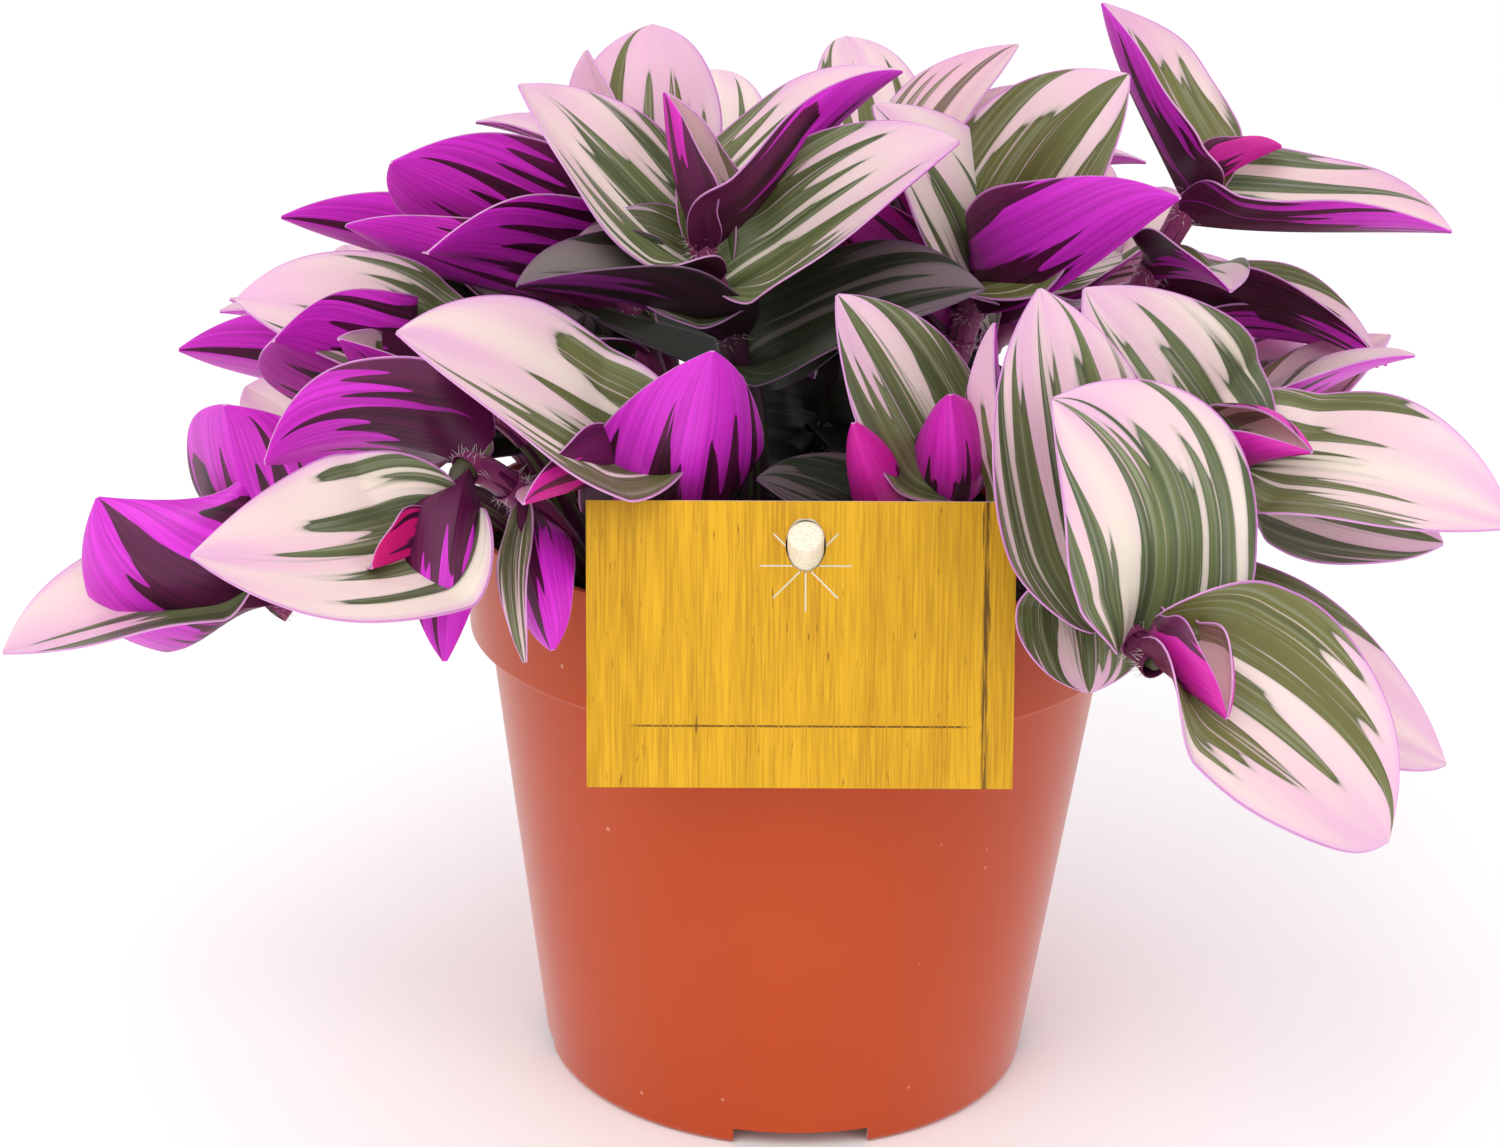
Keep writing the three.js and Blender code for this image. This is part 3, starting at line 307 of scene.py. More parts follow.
def back_shoot(name, azimuth, foot, reach, height, blades, random):
    """A stem that arches away from the pot's axis, with blades to both sides in turn."""
    heading_out = np.array([math.cos(math.radians(azimuth)), math.sin(math.radians(azimuth)), 0])

    def along(radius, z):
        return heading_out * radius + np.array([0, 0, z])

    points = [
        along(foot, STEM_FOOT),
        *(along(foot + (reach - foot) * out, STEM_FOOT + (height - STEM_FOOT) * up)
          for out, up in BACK_PATH),
        along(reach, height - BACK_DROOP * (reach > BACK_LONG)),
    ]
    leaves = []
    for k in range(blades):
        share = k / (blades - 1)
        side = -1 if k % 2 else 1

        def mix(pair):
            return pair[0] + (pair[1] - pair[0]) * share

        at = BACK_FIRST + (1 - BACK_FIRST) * share
        heading = azimuth + side * mix(BACK_SPREAD) + BACK_JITTER * (2 * next(random) - 1)
        lift = math.radians(mix(BACK_RISE) + BACK_JITTER * (2 * next(random) - 1))
        length = mix(BACK_LENGTH) * (0.94 + 0.12 * next(random))
        turn = math.radians(heading)
        away = np.array([math.cos(turn), math.sin(turn), 0])
        ahead = away * math.cos(lift) + np.array([0, 0, math.sin(lift)])
        tip = stem_at(points, at)[0] + length * ahead
        reached = 0.35 + 0.2 * (k % 3)
        leaves.append(leaf(
            at, tip, (-0.4 * away[0], -0.4 * away[1], 1), length * BACK_WIDTH, (5, 7), (13, 30, 30),
            green=(reached, 0.9 - reached), pink=0.3 + 0.2 * (k % 3), young=0.3 * (share == 1),
        ))
    return name, BACK_RADIUS, points, leaves


def random_stream(seed):
    """The part's own random draws, in its own order."""
    while True:
        seed = seed * 16807 % 2147483647
        yield seed / 2147483647


def all_shoots():
    stream = random_stream(BACK_SEED)
    listed = [(name, radius, [np.array(p, float) for p in points], leaves)
              for name, radius, points, leaves in SHOOTS]
    return listed + [back_shoot(*row, stream) for row in BACK_SHOOTS]


TRAITS = ("leaf_seed", "leaf_green", "leaf_pink", "leaf_young", "leaf_shade", "leaf_aside")


class Skin:
    """Collects the vertices, faces and attributes of one mesh."""

    def __init__(self):
        self.points, self.faces, self.slots, self.uv = [], [], [], []
        self.traits = {name: [] for name in TRAITS}
        self.count = 0

    def add(self, points, faces, slots, uv, **traits):
        size = len(points)
        self.points.append(points)
        self.faces.append(np.asarray(faces) + self.count)
        self.slots.append(np.broadcast_to(slots, len(faces)))
        self.uv.append(uv)
        for name, rows in self.traits.items():
            rows.append(np.broadcast_to(np.asarray(traits.get(name, 0.0), float), size))
        self.count += size

    def mesh(self, name, materials):
        points, faces = np.concatenate(self.points) * MM, np.concatenate(self.faces)
        mesh = bpy.data.meshes.new(name)
        mesh.vertices.add(len(points))
        mesh.vertices.foreach_set("co", points.astype(np.float32).ravel())
        mesh.loops.add(faces.size)
        mesh.loops.foreach_set("vertex_index", faces.astype(np.int32).ravel())
        mesh.polygons.add(len(faces))
        mesh.polygons.foreach_set("loop_start", np.arange(0, faces.size, 4, dtype=np.int32))
        mesh.polygons.foreach_set("material_index", np.concatenate(self.slots).astype(np.int32))
        layer = mesh.uv_layers.new(name="blade")
        uv = np.concatenate(self.uv)[faces.ravel()]
        layer.data.foreach_set("uv", uv.astype(np.float32).ravel())
        for trait, rows in self.traits.items():
            attribute = mesh.attributes.new(trait, "FLOAT", "POINT")
            attribute.data.foreach_set("value", np.concatenate(rows).astype(np.float32))
        mesh.update(calc_edges=True)
        mesh.validate()
        mesh.shade_smooth()
        mesh.set_sharp_from_angle(angle=math.radians(LEAF_SMOOTH))
        for material in materials:
            mesh.materials.append(material)
        return mesh


def grid_faces(rows, columns, start=0, closed=False):
    """Quads of a grid whose rows run along the growth and whose columns run to the right."""
    last = columns if closed else columns - 1
    i, j = np.meshgrid(np.arange(rows - 1), np.arange(last), indexing="ij")
    a = (i * columns + j).ravel()
    b = (i * columns + (j + 1) % columns).ravel()
    return np.stack([a, b, b + columns, a + columns], 1) + start


def outline(t):
    """Half the width at share t of the length, as a share of the widest: an oval that runs out
    in a point."""
    point = (1 - np.exp((t - 1) / POINT_SHARE)) ** POINT_POWER
    return np.sqrt(t + BLUNT) * (1 - t) ** TAPER * point / PEAK


def blade_grid(spec, base, t, q, phase, wave):
    """The middle surface of a blade, and its normals."""
    chord = spec["tip"] - base
    ahead = unit(chord)
    face = unit(spec["face"] - (spec["face"] @ ahead) * ahead)
    side = np.cross(ahead, face)
    one = base + chord / 3 + face * spec["arch"][0] + side * spec["sway"][0]
    two = base + chord * 2 / 3 + face * spec["arch"][1] + side * spec["sway"][1]
    t, q = t[:, None], q[None, :]
    centre = (1 - t) ** 3 * base + 3 * (1 - t) ** 2 * t * one + 3 * (1 - t) * t * t * two
    centre = centre + t ** 3 * spec["tip"]
    s = np.minimum(t, 0.995)
    tangent = 3 * (1 - s) ** 2 * (one - base) + 6 * (1 - s) * s * (two - one)
    tangent = unit(tangent + 3 * s * s * (spec["tip"] - two))
    normal = unit(face - (tangent @ face)[:, None] * tangent)
    across = np.cross(tangent, normal)
    clasp = spec["clasp"] * (1 - smoothstep(0, CLASP, t))
    half = outline(t) * spec["width"] / 2 + 0.35 * t
    vee, left, right = np.radians(spec["cup"])
    start = vee + (math.radians(BASE_VEE) - vee) * clasp
    margin = np.where(q > 0, right, left)
    change = margin + (math.radians(BASE_CUP) - margin) * clasp - start
    change = np.where(np.abs(change) < 1e-4, 1e-4, change)
    angle = start + change * np.abs(q)
    x = half * (np.sin(angle) - np.sin(start)) / change * np.sign(q)
    z = half * (np.cos(start) - np.cos(angle)) / change
    ripple = np.sin(2 * np.pi * WAVES * t + phase + np.where(q > 0, WAVE_LEAD, 0))
    z = z + wave * q * q * ripple * np.minimum(1, 4 * t) * (1 - t) * WAVE_GAIN
    points = centre[:, None] + across[:, None] * x[..., None] + normal[:, None] * z[..., None]
    normals = np.cross(np.gradient(points, axis=1), np.gradient(points, axis=0))
    return points, unit(normals)


def add_blade(skin, spec, base, seed, settings):
    t = np.linspace(0, 1, settings.rows + 1)
    q = np.linspace(-1, 1, settings.columns + 1)
    points, normals = blade_grid(spec, base, t, q, seed * 40, settings.wave / MM)
    thick = settings.thickness / MM / 2 * (1 - 0.5 * np.abs(q) ** 3)[None, :]
    rib = (1 - 0.8 * t)[:, None] * np.exp(-(q / RIB_SHARE) ** 2)[None, :]
    upper = points + normals * (thick - RIB_SUNK * rib)[..., None]
    under = points - normals * (thick + RIB_PROUD * rib)[..., None]
    rows, wide = points.shape[:2]
    size = rows * wide
    top = grid_faces(rows, wide)
    bottom = top[:, ::-1] + size
    up = np.arange(rows - 1) * wide
    left = np.stack([up, up + wide, up + wide + size, up + size], 1)
    right = np.stack([up, up + size, up + wide + size, up + wide], 1) + wide - 1
    low = np.arange(wide - 1)
    root = np.stack([low, low + size, low + 1 + size, low + 1], 1)
    tip = root[:, ::-1] + size - wide
    faces = np.concatenate([top, bottom, left, right, root, tip])
    slots = np.concatenate([np.zeros(len(top)), np.ones(len(bottom)),
                            np.full(len(faces) - len(top) - len(bottom), 2)])
    # veins draw together towards the ends, but less than the margins do, where some run out
    narrowed = (0.45 + 0.55 * outline(t))[:, None] * q[None, :]
    uv = np.tile(np.stack([(narrowed / 2 + 0.5).ravel(), np.repeat(t, wide)], 1), (2, 1))
    share = smoothstep(-0.15, 0.15, q)
    green = spec["green"][0] + (spec["green"][1] - spec["green"][0]) * share
    skin.add(
        np.concatenate([upper.reshape(-1, 3), under.reshape(-1, 3)]), faces, slots, uv,
        leaf_seed=seed, leaf_green=np.tile(green, 2 * rows), leaf_pink=spec["pink"],
        leaf_young=spec["young"], leaf_shade=spec["shade"],
        leaf_aside=np.tile(np.abs(q), 2 * rows),
    )


def rings_along(centres, directions, radii, count):
    """Rings square to a path, each turned as little as possible from the one before."""
    turns = np.linspace(0, 2 * np.pi, count, endpoint=False)[:, None]
    side = np.array([1.0, 0.0, 0.0])
    rings = []
    for centre, direction, radius in zip(centres, directions, radii):
        side = unit(side - (side @ direction) * direction)
        up = np.cross(direction, side)
        rings.append(centre + radius * (np.cos(turns) * side + np.sin(turns) * up))
    return rings


def tube(skin, rings, slot, seed, lengths, green=0.5, young=0.0, shade=0.0):
    """A closed skin through rings of points, its two ends drawn together."""
    count = len(rings[0])
    rings = [np.repeat(rings[0].mean(0)[None], count, 0), *rings,
             np.repeat(rings[-1].mean(0)[None], count, 0)]
    lengths = [lengths[0], *lengths, lengths[-1]]
    points = np.concatenate(rings)
    u = np.tile(np.abs(np.linspace(-1, 1, count, endpoint=False)), len(rings))
    uv = np.stack([u, np.repeat(lengths, count)], 1)
    skin.add(points, grid_faces(len(rings), count, closed=True), slot, uv,
             leaf_seed=seed, leaf_green=green, leaf_young=young, leaf_shade=shade)


def stem_rings(points, radius, count=16, steps=24):
    """A stem from inside the soil to its tip."""
    shares = np.linspace(0, 1, steps)
    places = [stem_at(points, share) for share in shares]
    end, ahead = places[-1]
    foot, tip = np.array([*points[0][:2], STEM_SUNK]), end + ahead * TIP_LENGTH
    centres = [foot, *(p for p, _ in places), tip]
    directions = [np.array([0, 0, 1.0]), *(d for _, d in places), ahead]
    radii = [radius, *(radius * (1 - STEM_TAPER * shares)), radius * TIP_SHARE]
    return rings_along(centres, directions, radii, count)


def sheath_rings(points, radius, at, settings, count=20):
    """The closed sheath under a blade, which widens into a loose rim: outside up, inside down."""
    spans = sum(np.linalg.norm(b - a) for a, b in zip(points, points[1:]))
    rise = np.linspace(0, 1, 6)
    places = at + settings.sheath / MM / spans * (rise - SHEATH_BELOW)
    centres, directions = [], []
    for place in places:
        centre, direction = stem_at(points, min(max(place, 0), 1))
        centres.append(centre + direction * max(place - 1, 0) * spans)
        directions.append(direction)
    radii = radius * (1 - STEM_TAPER * np.minimum(places, 1)) + SHEATH_GAP + SHEATH_FLARE * rise ** 2
    outside = rings_along(centres, directions, radii, count)
    inside = rings_along(centres, directions, radii - SHEATH_WALL, count)
    return outside, inside


def add_shoot(name, radius, points, leaves, order, settings, materials):
    """Adds a stem with its sheaths and blades, and gives the two topmost rings of each sheath."""
    skin, rims = Skin(), []
    seed = (order * 0.381966) % 1
    rings = stem_rings(points, radius)
    # Painted shade: a stem is darkened as much as its deepest blade, and at least half way, for the
    # shade inside the plant.
    depth = max(leaf["shade"] for leaf in leaves)
    tube(skin, rings, 3, seed, np.linspace(0, 1, len(rings)), shade=max(depth, 0.5))
    for k, spec in enumerate(leaves):
        leaf_seed = (seed + 0.618034 * (k + 1)) % 1
        add_blade(skin, spec, stem_at(points, spec["at"])[0], leaf_seed, settings)
        outside, inside = sheath_rings(points, radius, spec["at"], settings)
        tube(skin, [*outside, *inside[::-1]], 3, leaf_seed,
             [*np.linspace(0, 1, 6), *np.linspace(1, 0, 6)], green=0.3, young=0.9,
             shade=spec["shade"])
        rims.append(outside[-2:])
    finish_piece(name + "_leaves", skin.mesh(name + "_leaves", materials), "foliage", name)
    return rims


# ---------------------------------------------------------------- pieces and materials
# A leaf's flesh is thin and juicy: light from its other side shows through.
FLESH = {"Subsurface Weight": 0.35, "Subsurface Radius": (1.0, 0.6, 0.8), "Subsurface Scale": MM}
MATH, VECTORS = "ShaderNodeMath", "ShaderNodeVectorMath"
NOISE, RANGE, PLACE = "ShaderNodeTexNoise", "ShaderNodeMapRange", "ShaderNodeTexCoord"


def colour(value):
    """An sRGB hex value as linear red, green, blue and alpha."""
    parts = [int(value[i:i + 2], 16) / 255 for i in (1, 3, 5)]
    return [p / 12.92 if p <= 0.04045 else ((p + 0.055) / 1.055) ** 2.4 for p in parts] + [1.0]


def add_node(tree, kind, inputs=(), out=0, **settings):
    """Adds a node and gives one of its outputs. inputs lists a value or another node's output for
    each of its first sockets, or maps them by the sockets' names or numbers."""
    node = tree.nodes.new(kind)
    for key, value in settings.items():
        setattr(node, key, value)
    for key, value in inputs.items() if isinstance(inputs, dict) else enumerate(inputs):
        if isinstance(value, bpy.types.NodeSocket):
            tree.links.new(value, node.inputs[key])
        else:
            node.inputs[key].default_value = value
    return node.outputs[out] if node.outputs else None


def painted(tree, base, *layers):
    """Lays colours over one another, each through its own mask. A colour may be a hex value."""
    for mask, tint in layers:
        low, high = (colour(c) if isinstance(c, str) else c for c in (base, tint))
        base = add_node(tree, "ShaderNodeMix", {0: mask, 6: low, 7: high}, 2, data_type="RGBA")
    return base


def new_material(name, roughness, ior, base=None, sockets=None):
    """A material with its shader, whose own constant inputs are set here."""
    material = bpy.data.materials.new(name)
    material.use_nodes = True
    tree = material.node_tree
    shader = tree.nodes["Principled BSDF"]
    values = {"Roughness": roughness, "IOR": ior, **(sockets or {})}
    if base:
        values["Base Color"] = colour(base)
    for key, value in values.items():
        shader.inputs[key].default_value = value
    return material, tree, shader


def finish_material(material, tree, shader, base=None, height=None, depth=0.0, strength=1.0):
    """Gives a shader its colour, and its relief, which is so many millimetres deep."""
    if base is not None:
        tree.links.new(base, shader.inputs["Base Color"])
    if height is not None:
        bump = add_node(tree, "ShaderNodeBump", {"Strength": strength, "Distance": depth * MM,
                                                 "Height": height})
        tree.links.new(bump, shader.inputs["Normal"])
    return material


def finish_piece(name, mesh, slot, *nodes):
    piece = bpy.data.objects.new(name, mesh)
    bpy.context.scene.collection.objects.link(piece)
    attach(piece, "root")
    if nodes:
        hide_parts(*nodes)
    return piece


def streaks(tree):
    """The streaks that both sides of a blade share, since they are in its flesh: long stripes of
    green from the base, each of which ends in a point at a height of its own."""
    uv = add_node(tree, "ShaderNodeUVMap", uv_map="blade")
    along = add_node(tree, "ShaderNodeSeparateXYZ", (uv,), 1)
    seed, green, pink, young, shade, aside = (
        add_node(tree, "ShaderNodeAttribute", out="Fac", attribute_name=name) for name in TRAITS)
    own = add_node(tree, VECTORS, (seed, (91.0, 13.0, 37.0)), operation="MULTIPLY")
    fields = []
    for count, wander, detail in STREAKS:
        at = add_node(tree, VECTORS, (uv, (count, wander, 1.0), own), operation="MULTIPLY_ADD")
        fields.append(add_node(tree, NOISE, {"Vector": at, "Scale": 1.0, "Detail": detail}))
    zones, stripes, ends, lines, veins = fields
    body = add_node(tree, MATH, (zones, 0.6, stripes), operation="MULTIPLY_ADD")
    body = add_node(tree, MATH, (lines, 0.1, body), operation="MULTIPLY_ADD")
    # every stripe narrows over the last part of its own length
    end = add_node(tree, MATH, (green, 0.75, -0.5), operation="MULTIPLY_ADD")
    end = add_node(tree, MATH, (ends, 1.6, end), operation="MULTIPLY_ADD")
    past = add_node(tree, MATH, (along, end), operation="SUBTRACT")
    taper = add_node(tree, RANGE, (past, -0.24, 0.0, 0.0, 0.3))
    # and green flesh as a whole gets scarcer towards the tip
    height = add_node(tree, MATH, (along, green), operation="SUBTRACT")
    edge = add_node(tree, MATH, (height, 0.2, 0.81), operation="MULTIPLY_ADD")
    edge = add_node(tree, MATH, (edge, taper), operation="ADD")
    inside = add_node(tree, MATH, (body, edge), operation="SUBTRACT")
    masks = [
        add_node(tree, RANGE, (field, low, high, 0.0, top), interpolation_type="SMOOTHSTEP")
        for field, low, high, top in (
            (inside, -0.02, 0.02, 1.0), (inside, -0.07, -0.05, 1.0), (inside, 0.08, 0.0, 0.55),
            (inside, -0.09, -0.01, 0.35), (aside, 0.8, 1.0, 1.0), (aside, 0.975, 0.992, 1.0),
        )
    ]
    names = ("green", "wide_green", "border", "haze", "glow", "rim")
    return SimpleNamespace(**dict(zip(names, masks)), along=along, zones=zones, stripes=stripes,
                           lines=lines, veins=veins, seed=seed, pink=pink, young=young, shade=shade)


def upper_side(colours):
    """The upper skin of a living leaf: smooth and slightly waxy, so it has a broad soft gloss.
    Green flesh shows as streaks between flesh without green, which is cream to pink."""
    material, tree, shader = new_material("living leaf, waxy upper side", 0.42, 1.42, sockets=FLESH)
    part = streaks(tree)
    pinkness = add_node(tree, MATH, (part.zones, 1.4, -1.05), operation="MULTIPLY_ADD")
    pinkness = add_node(tree, MATH, (part.along, 0.7, pinkness), operation="MULTIPLY_ADD")
    pinkness = add_node(tree, MATH, (pinkness, part.pink), operation="ADD", use_clamp=True)
    patchy = add_node(tree, MATH, (part.glow, part.zones, part.glow), operation="MULTIPLY_ADD")
    tipward = add_node(tree, MATH, (part.along, part.zones, part.along), operation="MULTIPLY_ADD")
    at_tip, at_margin, tone, sun, grey, thin, blush = (
        add_node(tree, RANGE, (field, low, high, 0.0, top))
        for field, low, high, top in (
            (tipward, 1.15, 1.6, 0.5), (patchy, 0.4, 1.4, 0.6), (part.stripes, 0.4, 0.65, 0.7),
            (part.seed, 0.3, 1.0, 0.8), (part.lines, 0.52, 0.7, 0.5),
            (part.lines, 0.35, 0.29, 0.5), (part.young, 0.0, 1.0, 0.6),
        )
    )
    pale = painted(tree, colours.cream, (pinkness, colours.pink), (at_tip, colours.lilac),
                   (at_margin, colours.lilac))
    flesh = painted(tree, colours.green, (tone, colours.deep_green), (sun, colours.olive),
                    (grey, colours.haze), (part.border, colours.deep_green))
    # The last layer is painted shade, dark on blades deep in the plant.
    base = painted(tree, pale, (part.haze, colours.haze), (part.green, flesh), (thin, pale),
                   (blush, colours.blush), (part.rim, colours.margin), (part.shade, colours.shade))
    return finish_material(material, tree, shader, base, part.veins, *VEIN_RELIEF)


def under_side(colours):
    """The under skin: the same streaks, seen through a layer of purple sap, so pale flesh glows
    magenta and green flesh is maroon."""
    material, tree, shader = new_material("living leaf, purple under side", 0.42, 1.42, sockets=FLESH)
    part = streaks(tree)
    # low darkens the under side with maroon towards the blade's foot: painted shade.
    tone, dusky, low = (
        add_node(tree, RANGE, (field, start, end, 0.0, top))
        for field, start, end, top in (
            (part.lines, 0.35, 0.65, 1.0), (part.zones, 0.5, 0.7, 0.5), (part.along, 0.45, 0.0, 0.75))
    )
    bright = painted(tree, colours.magenta_deep, (tone, colours.magenta), (part.young, colours.young))
    deep = painted(tree, colours.maroon_deep, (tone, colours.maroon), (dusky, colours.dusky))
    # The last layer is painted shade, dark on blades deep in the plant.
    base = painted(tree, bright, (part.haze, colours.maroon), (part.wide_green, deep),
                   (low, colours.maroon), (part.rim, colours.margin), (part.shade, colours.shade))
    return finish_material(material, tree, shader, base, part.veins, *VEIN_RELIEF)


def edge_side(colours):
    """The thin margin, where purple sap gathers into a fine line."""
    material, tree, shader = new_material("living leaf, margin", 0.4, 1.42)
    part = streaks(tree)
    # The last layer is painted shade, dark on margins deep in the plant.
    base = painted(tree, colours.margin, (part.lines, colours.lilac), (part.shade, colours.shade))
    return finish_material(material, tree, shader, base)


def stem_skin(colours):
    """A juicy stem: olive, streaked and flecked with purple, and its sheaths purple all over."""
    material, tree, shader = new_material("living stem, juicy", 0.35, 1.42)
    part = streaks(tree)
    # The last layer is painted shade, dark on stems and on sheaths deep in the plant.
    base = painted(tree, colours.stem, (part.lines, colours.green), (part.young, colours.sheath_skin),
                   (part.green, colours.maroon), (part.shade, colours.shade))
    return finish_material(material, tree, shader, base, part.veins, *VEIN_RELIEF)


def local_place(tree, centre, turn):
    """A point in a piece's own axes, in metres, whatever way the piece leans."""
    return add_node(tree, "ShaderNodeMapping", {
        "Vector": add_node(tree, PLACE, out="Object"),
        "Location": [c * MM for c in centre], "Rotation": turn.to_euler("XYZ"),
    }, vector_type="TEXTURE")


def pot_plastic(settings):
    """Terracotta-coloured polypropylene, injection moulded: satin, with faint flow clouds about
    25 mm wide, a grain of 0.6 mm, pale scuffs about 9 mm apart, and a milky bloom aslant."""
    material, tree, shader = new_material(
        "polypropylene, moulded, terracotta", 0.42, 1.49,
        sockets={"Sheen Weight": 0.5, "Sheen Roughness": 0.3, "Specular IOR Level": 0.3})
    at = add_node(tree, PLACE, out="Object")
    cloud, grain = (
        add_node(tree, NOISE, {"Vector": at, "Scale": 1 / (size * MM), "Detail": detail})
        for size, detail in ((25.0, 3.0), (0.6, 2.0))
    )
    specks = add_node(tree, "ShaderNodeTexVoronoi", {"Vector": at, "Scale": 1 / (9 * MM)})
    near = add_node(tree, RANGE, (specks, 0.05, 0.035, 0.0, 0.5))
    base = painted(tree, settings.plastic, (cloud, settings.plastic_light), (near, settings.scuff))
    return finish_material(material, tree, shader, base, grain, 0.03, 0.3)


def potting_mix(settings):
    """Damp peat with bits of bark: near black, dull, with brown crumbs about 2.5 mm wide."""
    material, tree, shader = new_material("peat potting mix, crumbly", 0.9, 1.4)
    at = add_node(tree, PLACE, out="Object")
    crumbs = add_node(tree, NOISE, {"Vector": at, "Scale": 1 / (2.5 * MM), "Detail": 4.0})
    base = painted(tree, settings.peat, (crumbs, settings.bark))
    return finish_material(material, tree, shader, base, crumbs, 1.2)


def card_turn():
    return (Matrix.Rotation(math.radians(-CARD_LEAN), 3, "X")
            @ Matrix.Rotation(math.radians(-CARD_ROLL), 3, "Y"))


def printed_wood(settings):
    """Card printed with a yellow wood grain: upright grain lines about 0.4 mm wide, short dark
    nicks, one long crack, and one ruled line. The varnish is thin, so it hardly shines."""
    material, tree, shader = new_material("card, printed and varnished", 0.5, 1.5,
                                          sockets={"Specular IOR Level": 0.25})
    at = local_place(tree, CARD_CENTRE, card_turn())
    fields = []
    for wide, high, detail in PRINTED_GRAIN:
        scaled = add_node(tree, VECTORS, (at, (1 / (wide * MM), 1.0, 1 / (high * MM))),
                          operation="MULTIPLY")
        fields.append(add_node(tree, NOISE, {"Vector": scaled, "Scale": 1.0, "Detail": detail}))
    boards, grain, nicks, wobble = fields
    both = add_node(tree, "ShaderNodeMix", {0: 0.6, 2: boards, 3: grain})
    tone = add_node(tree, RANGE, (both, 0.38, 0.6))
    dark = add_node(tree, RANGE, (nicks, 0.67, 0.75, 0.0, 0.8))
    broken = add_node(tree, RANGE, (grain, 0.35, 0.5))
    base = painted(tree, settings.wood_dark, (tone, settings.wood), (dark, settings.crack))
    for axis, middle, half, other, reach, bend in PRINTED_LINES:
        across, along = (add_node(tree, "ShaderNodeSeparateXYZ", (at,), out) for out in (axis, other))
        off = add_node(tree, MATH, (across, middle * MM), operation="SUBTRACT")
        bent = add_node(tree, MATH, (wobble, bend * MM, off), operation="MULTIPLY_ADD")
        bent = add_node(tree, MATH, (bent, bend * MM / 2), operation="SUBTRACT")
        away, far = (add_node(tree, MATH, (field,), operation="ABSOLUTE") for field in (bent, along))
        line = add_node(tree, RANGE, (away, 1.4 * half * MM, 0.7 * half * MM, 0.0, 0.85))
        short = add_node(tree, RANGE, (far, reach * MM, (reach - 2) * MM))
        worn = add_node(tree, MATH, (line, short), operation="MULTIPLY")
        worn = add_node(tree, MATH, (worn, broken), operation="MULTIPLY")
        base = painted(tree, base, (worn, settings.ink))
    return finish_material(material, tree, shader, base)


def bare_card(settings):
    """The card's own white, where it is cut or torn: matt, with fibres about 0.15 mm wide."""
    material, tree, shader = new_material("card, cut edge", 0.8, 1.45, settings.paper)
    at = add_node(tree, PLACE, out="Object")
    fibres = add_node(tree, NOISE, {"Vector": at, "Scale": 1 / (0.15 * MM)})
    return finish_material(material, tree, shader, height=fibres, depth=0.05, strength=0.5)


def stick_turn():
    axis = Vector(STICK_THROUGH) - Vector(STICK_FROM)
    return Vector((0, 0, 1)).rotation_difference(axis).to_matrix()


def turned_wood(settings):
    """A bare softwood dowel: pale, dull, with grain 0.5 mm wide along it and open pores at the
    end, drawn 0.35 mm wide so that they show."""
    material, tree, shader = new_material("softwood dowel, bare", 0.65, 1.5)
    at = local_place(tree, STICK_FROM, stick_turn())
    scaled = add_node(tree, VECTORS, (at, (1 / (0.5 * MM), 1 / (0.5 * MM), 1 / (9 * MM))),
                      operation="MULTIPLY")
    grain = add_node(tree, NOISE, {"Vector": scaled, "Scale": 1.0, "Detail": 3.0})
    pores = add_node(tree, NOISE, {"Vector": at, "Scale": 1 / (0.35 * MM), "Detail": 2.0})
    spots = add_node(tree, RANGE, (pores, 0.57, 0.66, 0.0, 0.6))
    base = painted(tree, settings.dowel, (grain, settings.dowel_light), (spots, settings.pore))
    return finish_material(material, tree, shader, base, pores, 0.08, 0.6)


def fine_hair(settings):
    """A living hair, clear and thin: pale, with a slight gloss."""
    return new_material("living hair, clear", 0.4, 1.45, settings.hair_colour)[0]


# ---------------------------------------------------------------- turned and cut solids
def plain_mesh(name, points, faces):
    """A mesh from points in millimetres."""
    mesh = bpy.data.meshes.new(name)
    mesh.from_pydata([[c * MM for c in point] for point in points], [], faces)
    return mesh


def turned_mesh(name, profile, sides):
    """A solid turned about Z from a profile of (radius, height) points, axis to axis."""
    rings = profile[1:-1]
    turns = [2 * math.pi * k / sides for k in range(sides)]
    points = [(r * math.cos(turn), r * math.sin(turn), z) for r, z in rings for turn in turns]
    faces = grid_faces(len(rings), sides, closed=True).tolist()
    first, last = len(points), len(points) + 1
    points += [(0, 0, profile[0][1]), (0, 0, profile[-1][1])]
    top = (len(rings) - 1) * sides
    for k in range(sides):
        faces.append((first, (k + 1) % sides, k))
        faces.append((last, top + k, top + (k + 1) % sides))
    mesh = plain_mesh(name, points, faces)
    mesh.validate()
    return mesh


def rounded(corner, before, after, radius, steps=4):
    """A corner of a profile, rounded."""
    c, a, b = (Vector(p) for p in (corner, before, after))
    start, end = c + (a - c).normalized() * radius, c + (b - c).normalized() * radius
    points = []
    for k in range(steps + 1):
        t = k / steps
        points.append(tuple((1 - t) ** 2 * start + 2 * t * (1 - t) * c + t * t * end))
    return points


def rounded_profile(profile, radii):
    """Rounds the corners whose number has a radius."""
    made = []
    for k, point in enumerate(profile):
        if k in radii:
            made += rounded(point, profile[k - 1], profile[k + 1], radii[k])
        else:
            made.append(point)
    return made


def box_mesh(size, place):
    corners = [(x * size[0] / 2, y * size[1] / 2, z * size[2] / 2)
               for x in (-1, 1) for y in (-1, 1) for z in (-1, 1)]
    faces = [(0, 1, 3, 2), (4, 6, 7, 5), (0, 4, 5, 1), (2, 3, 7, 6), (0, 2, 6, 4), (1, 5, 7, 3)]
    return plain_mesh("cutter", [place @ Vector(corner) for corner in corners], faces)


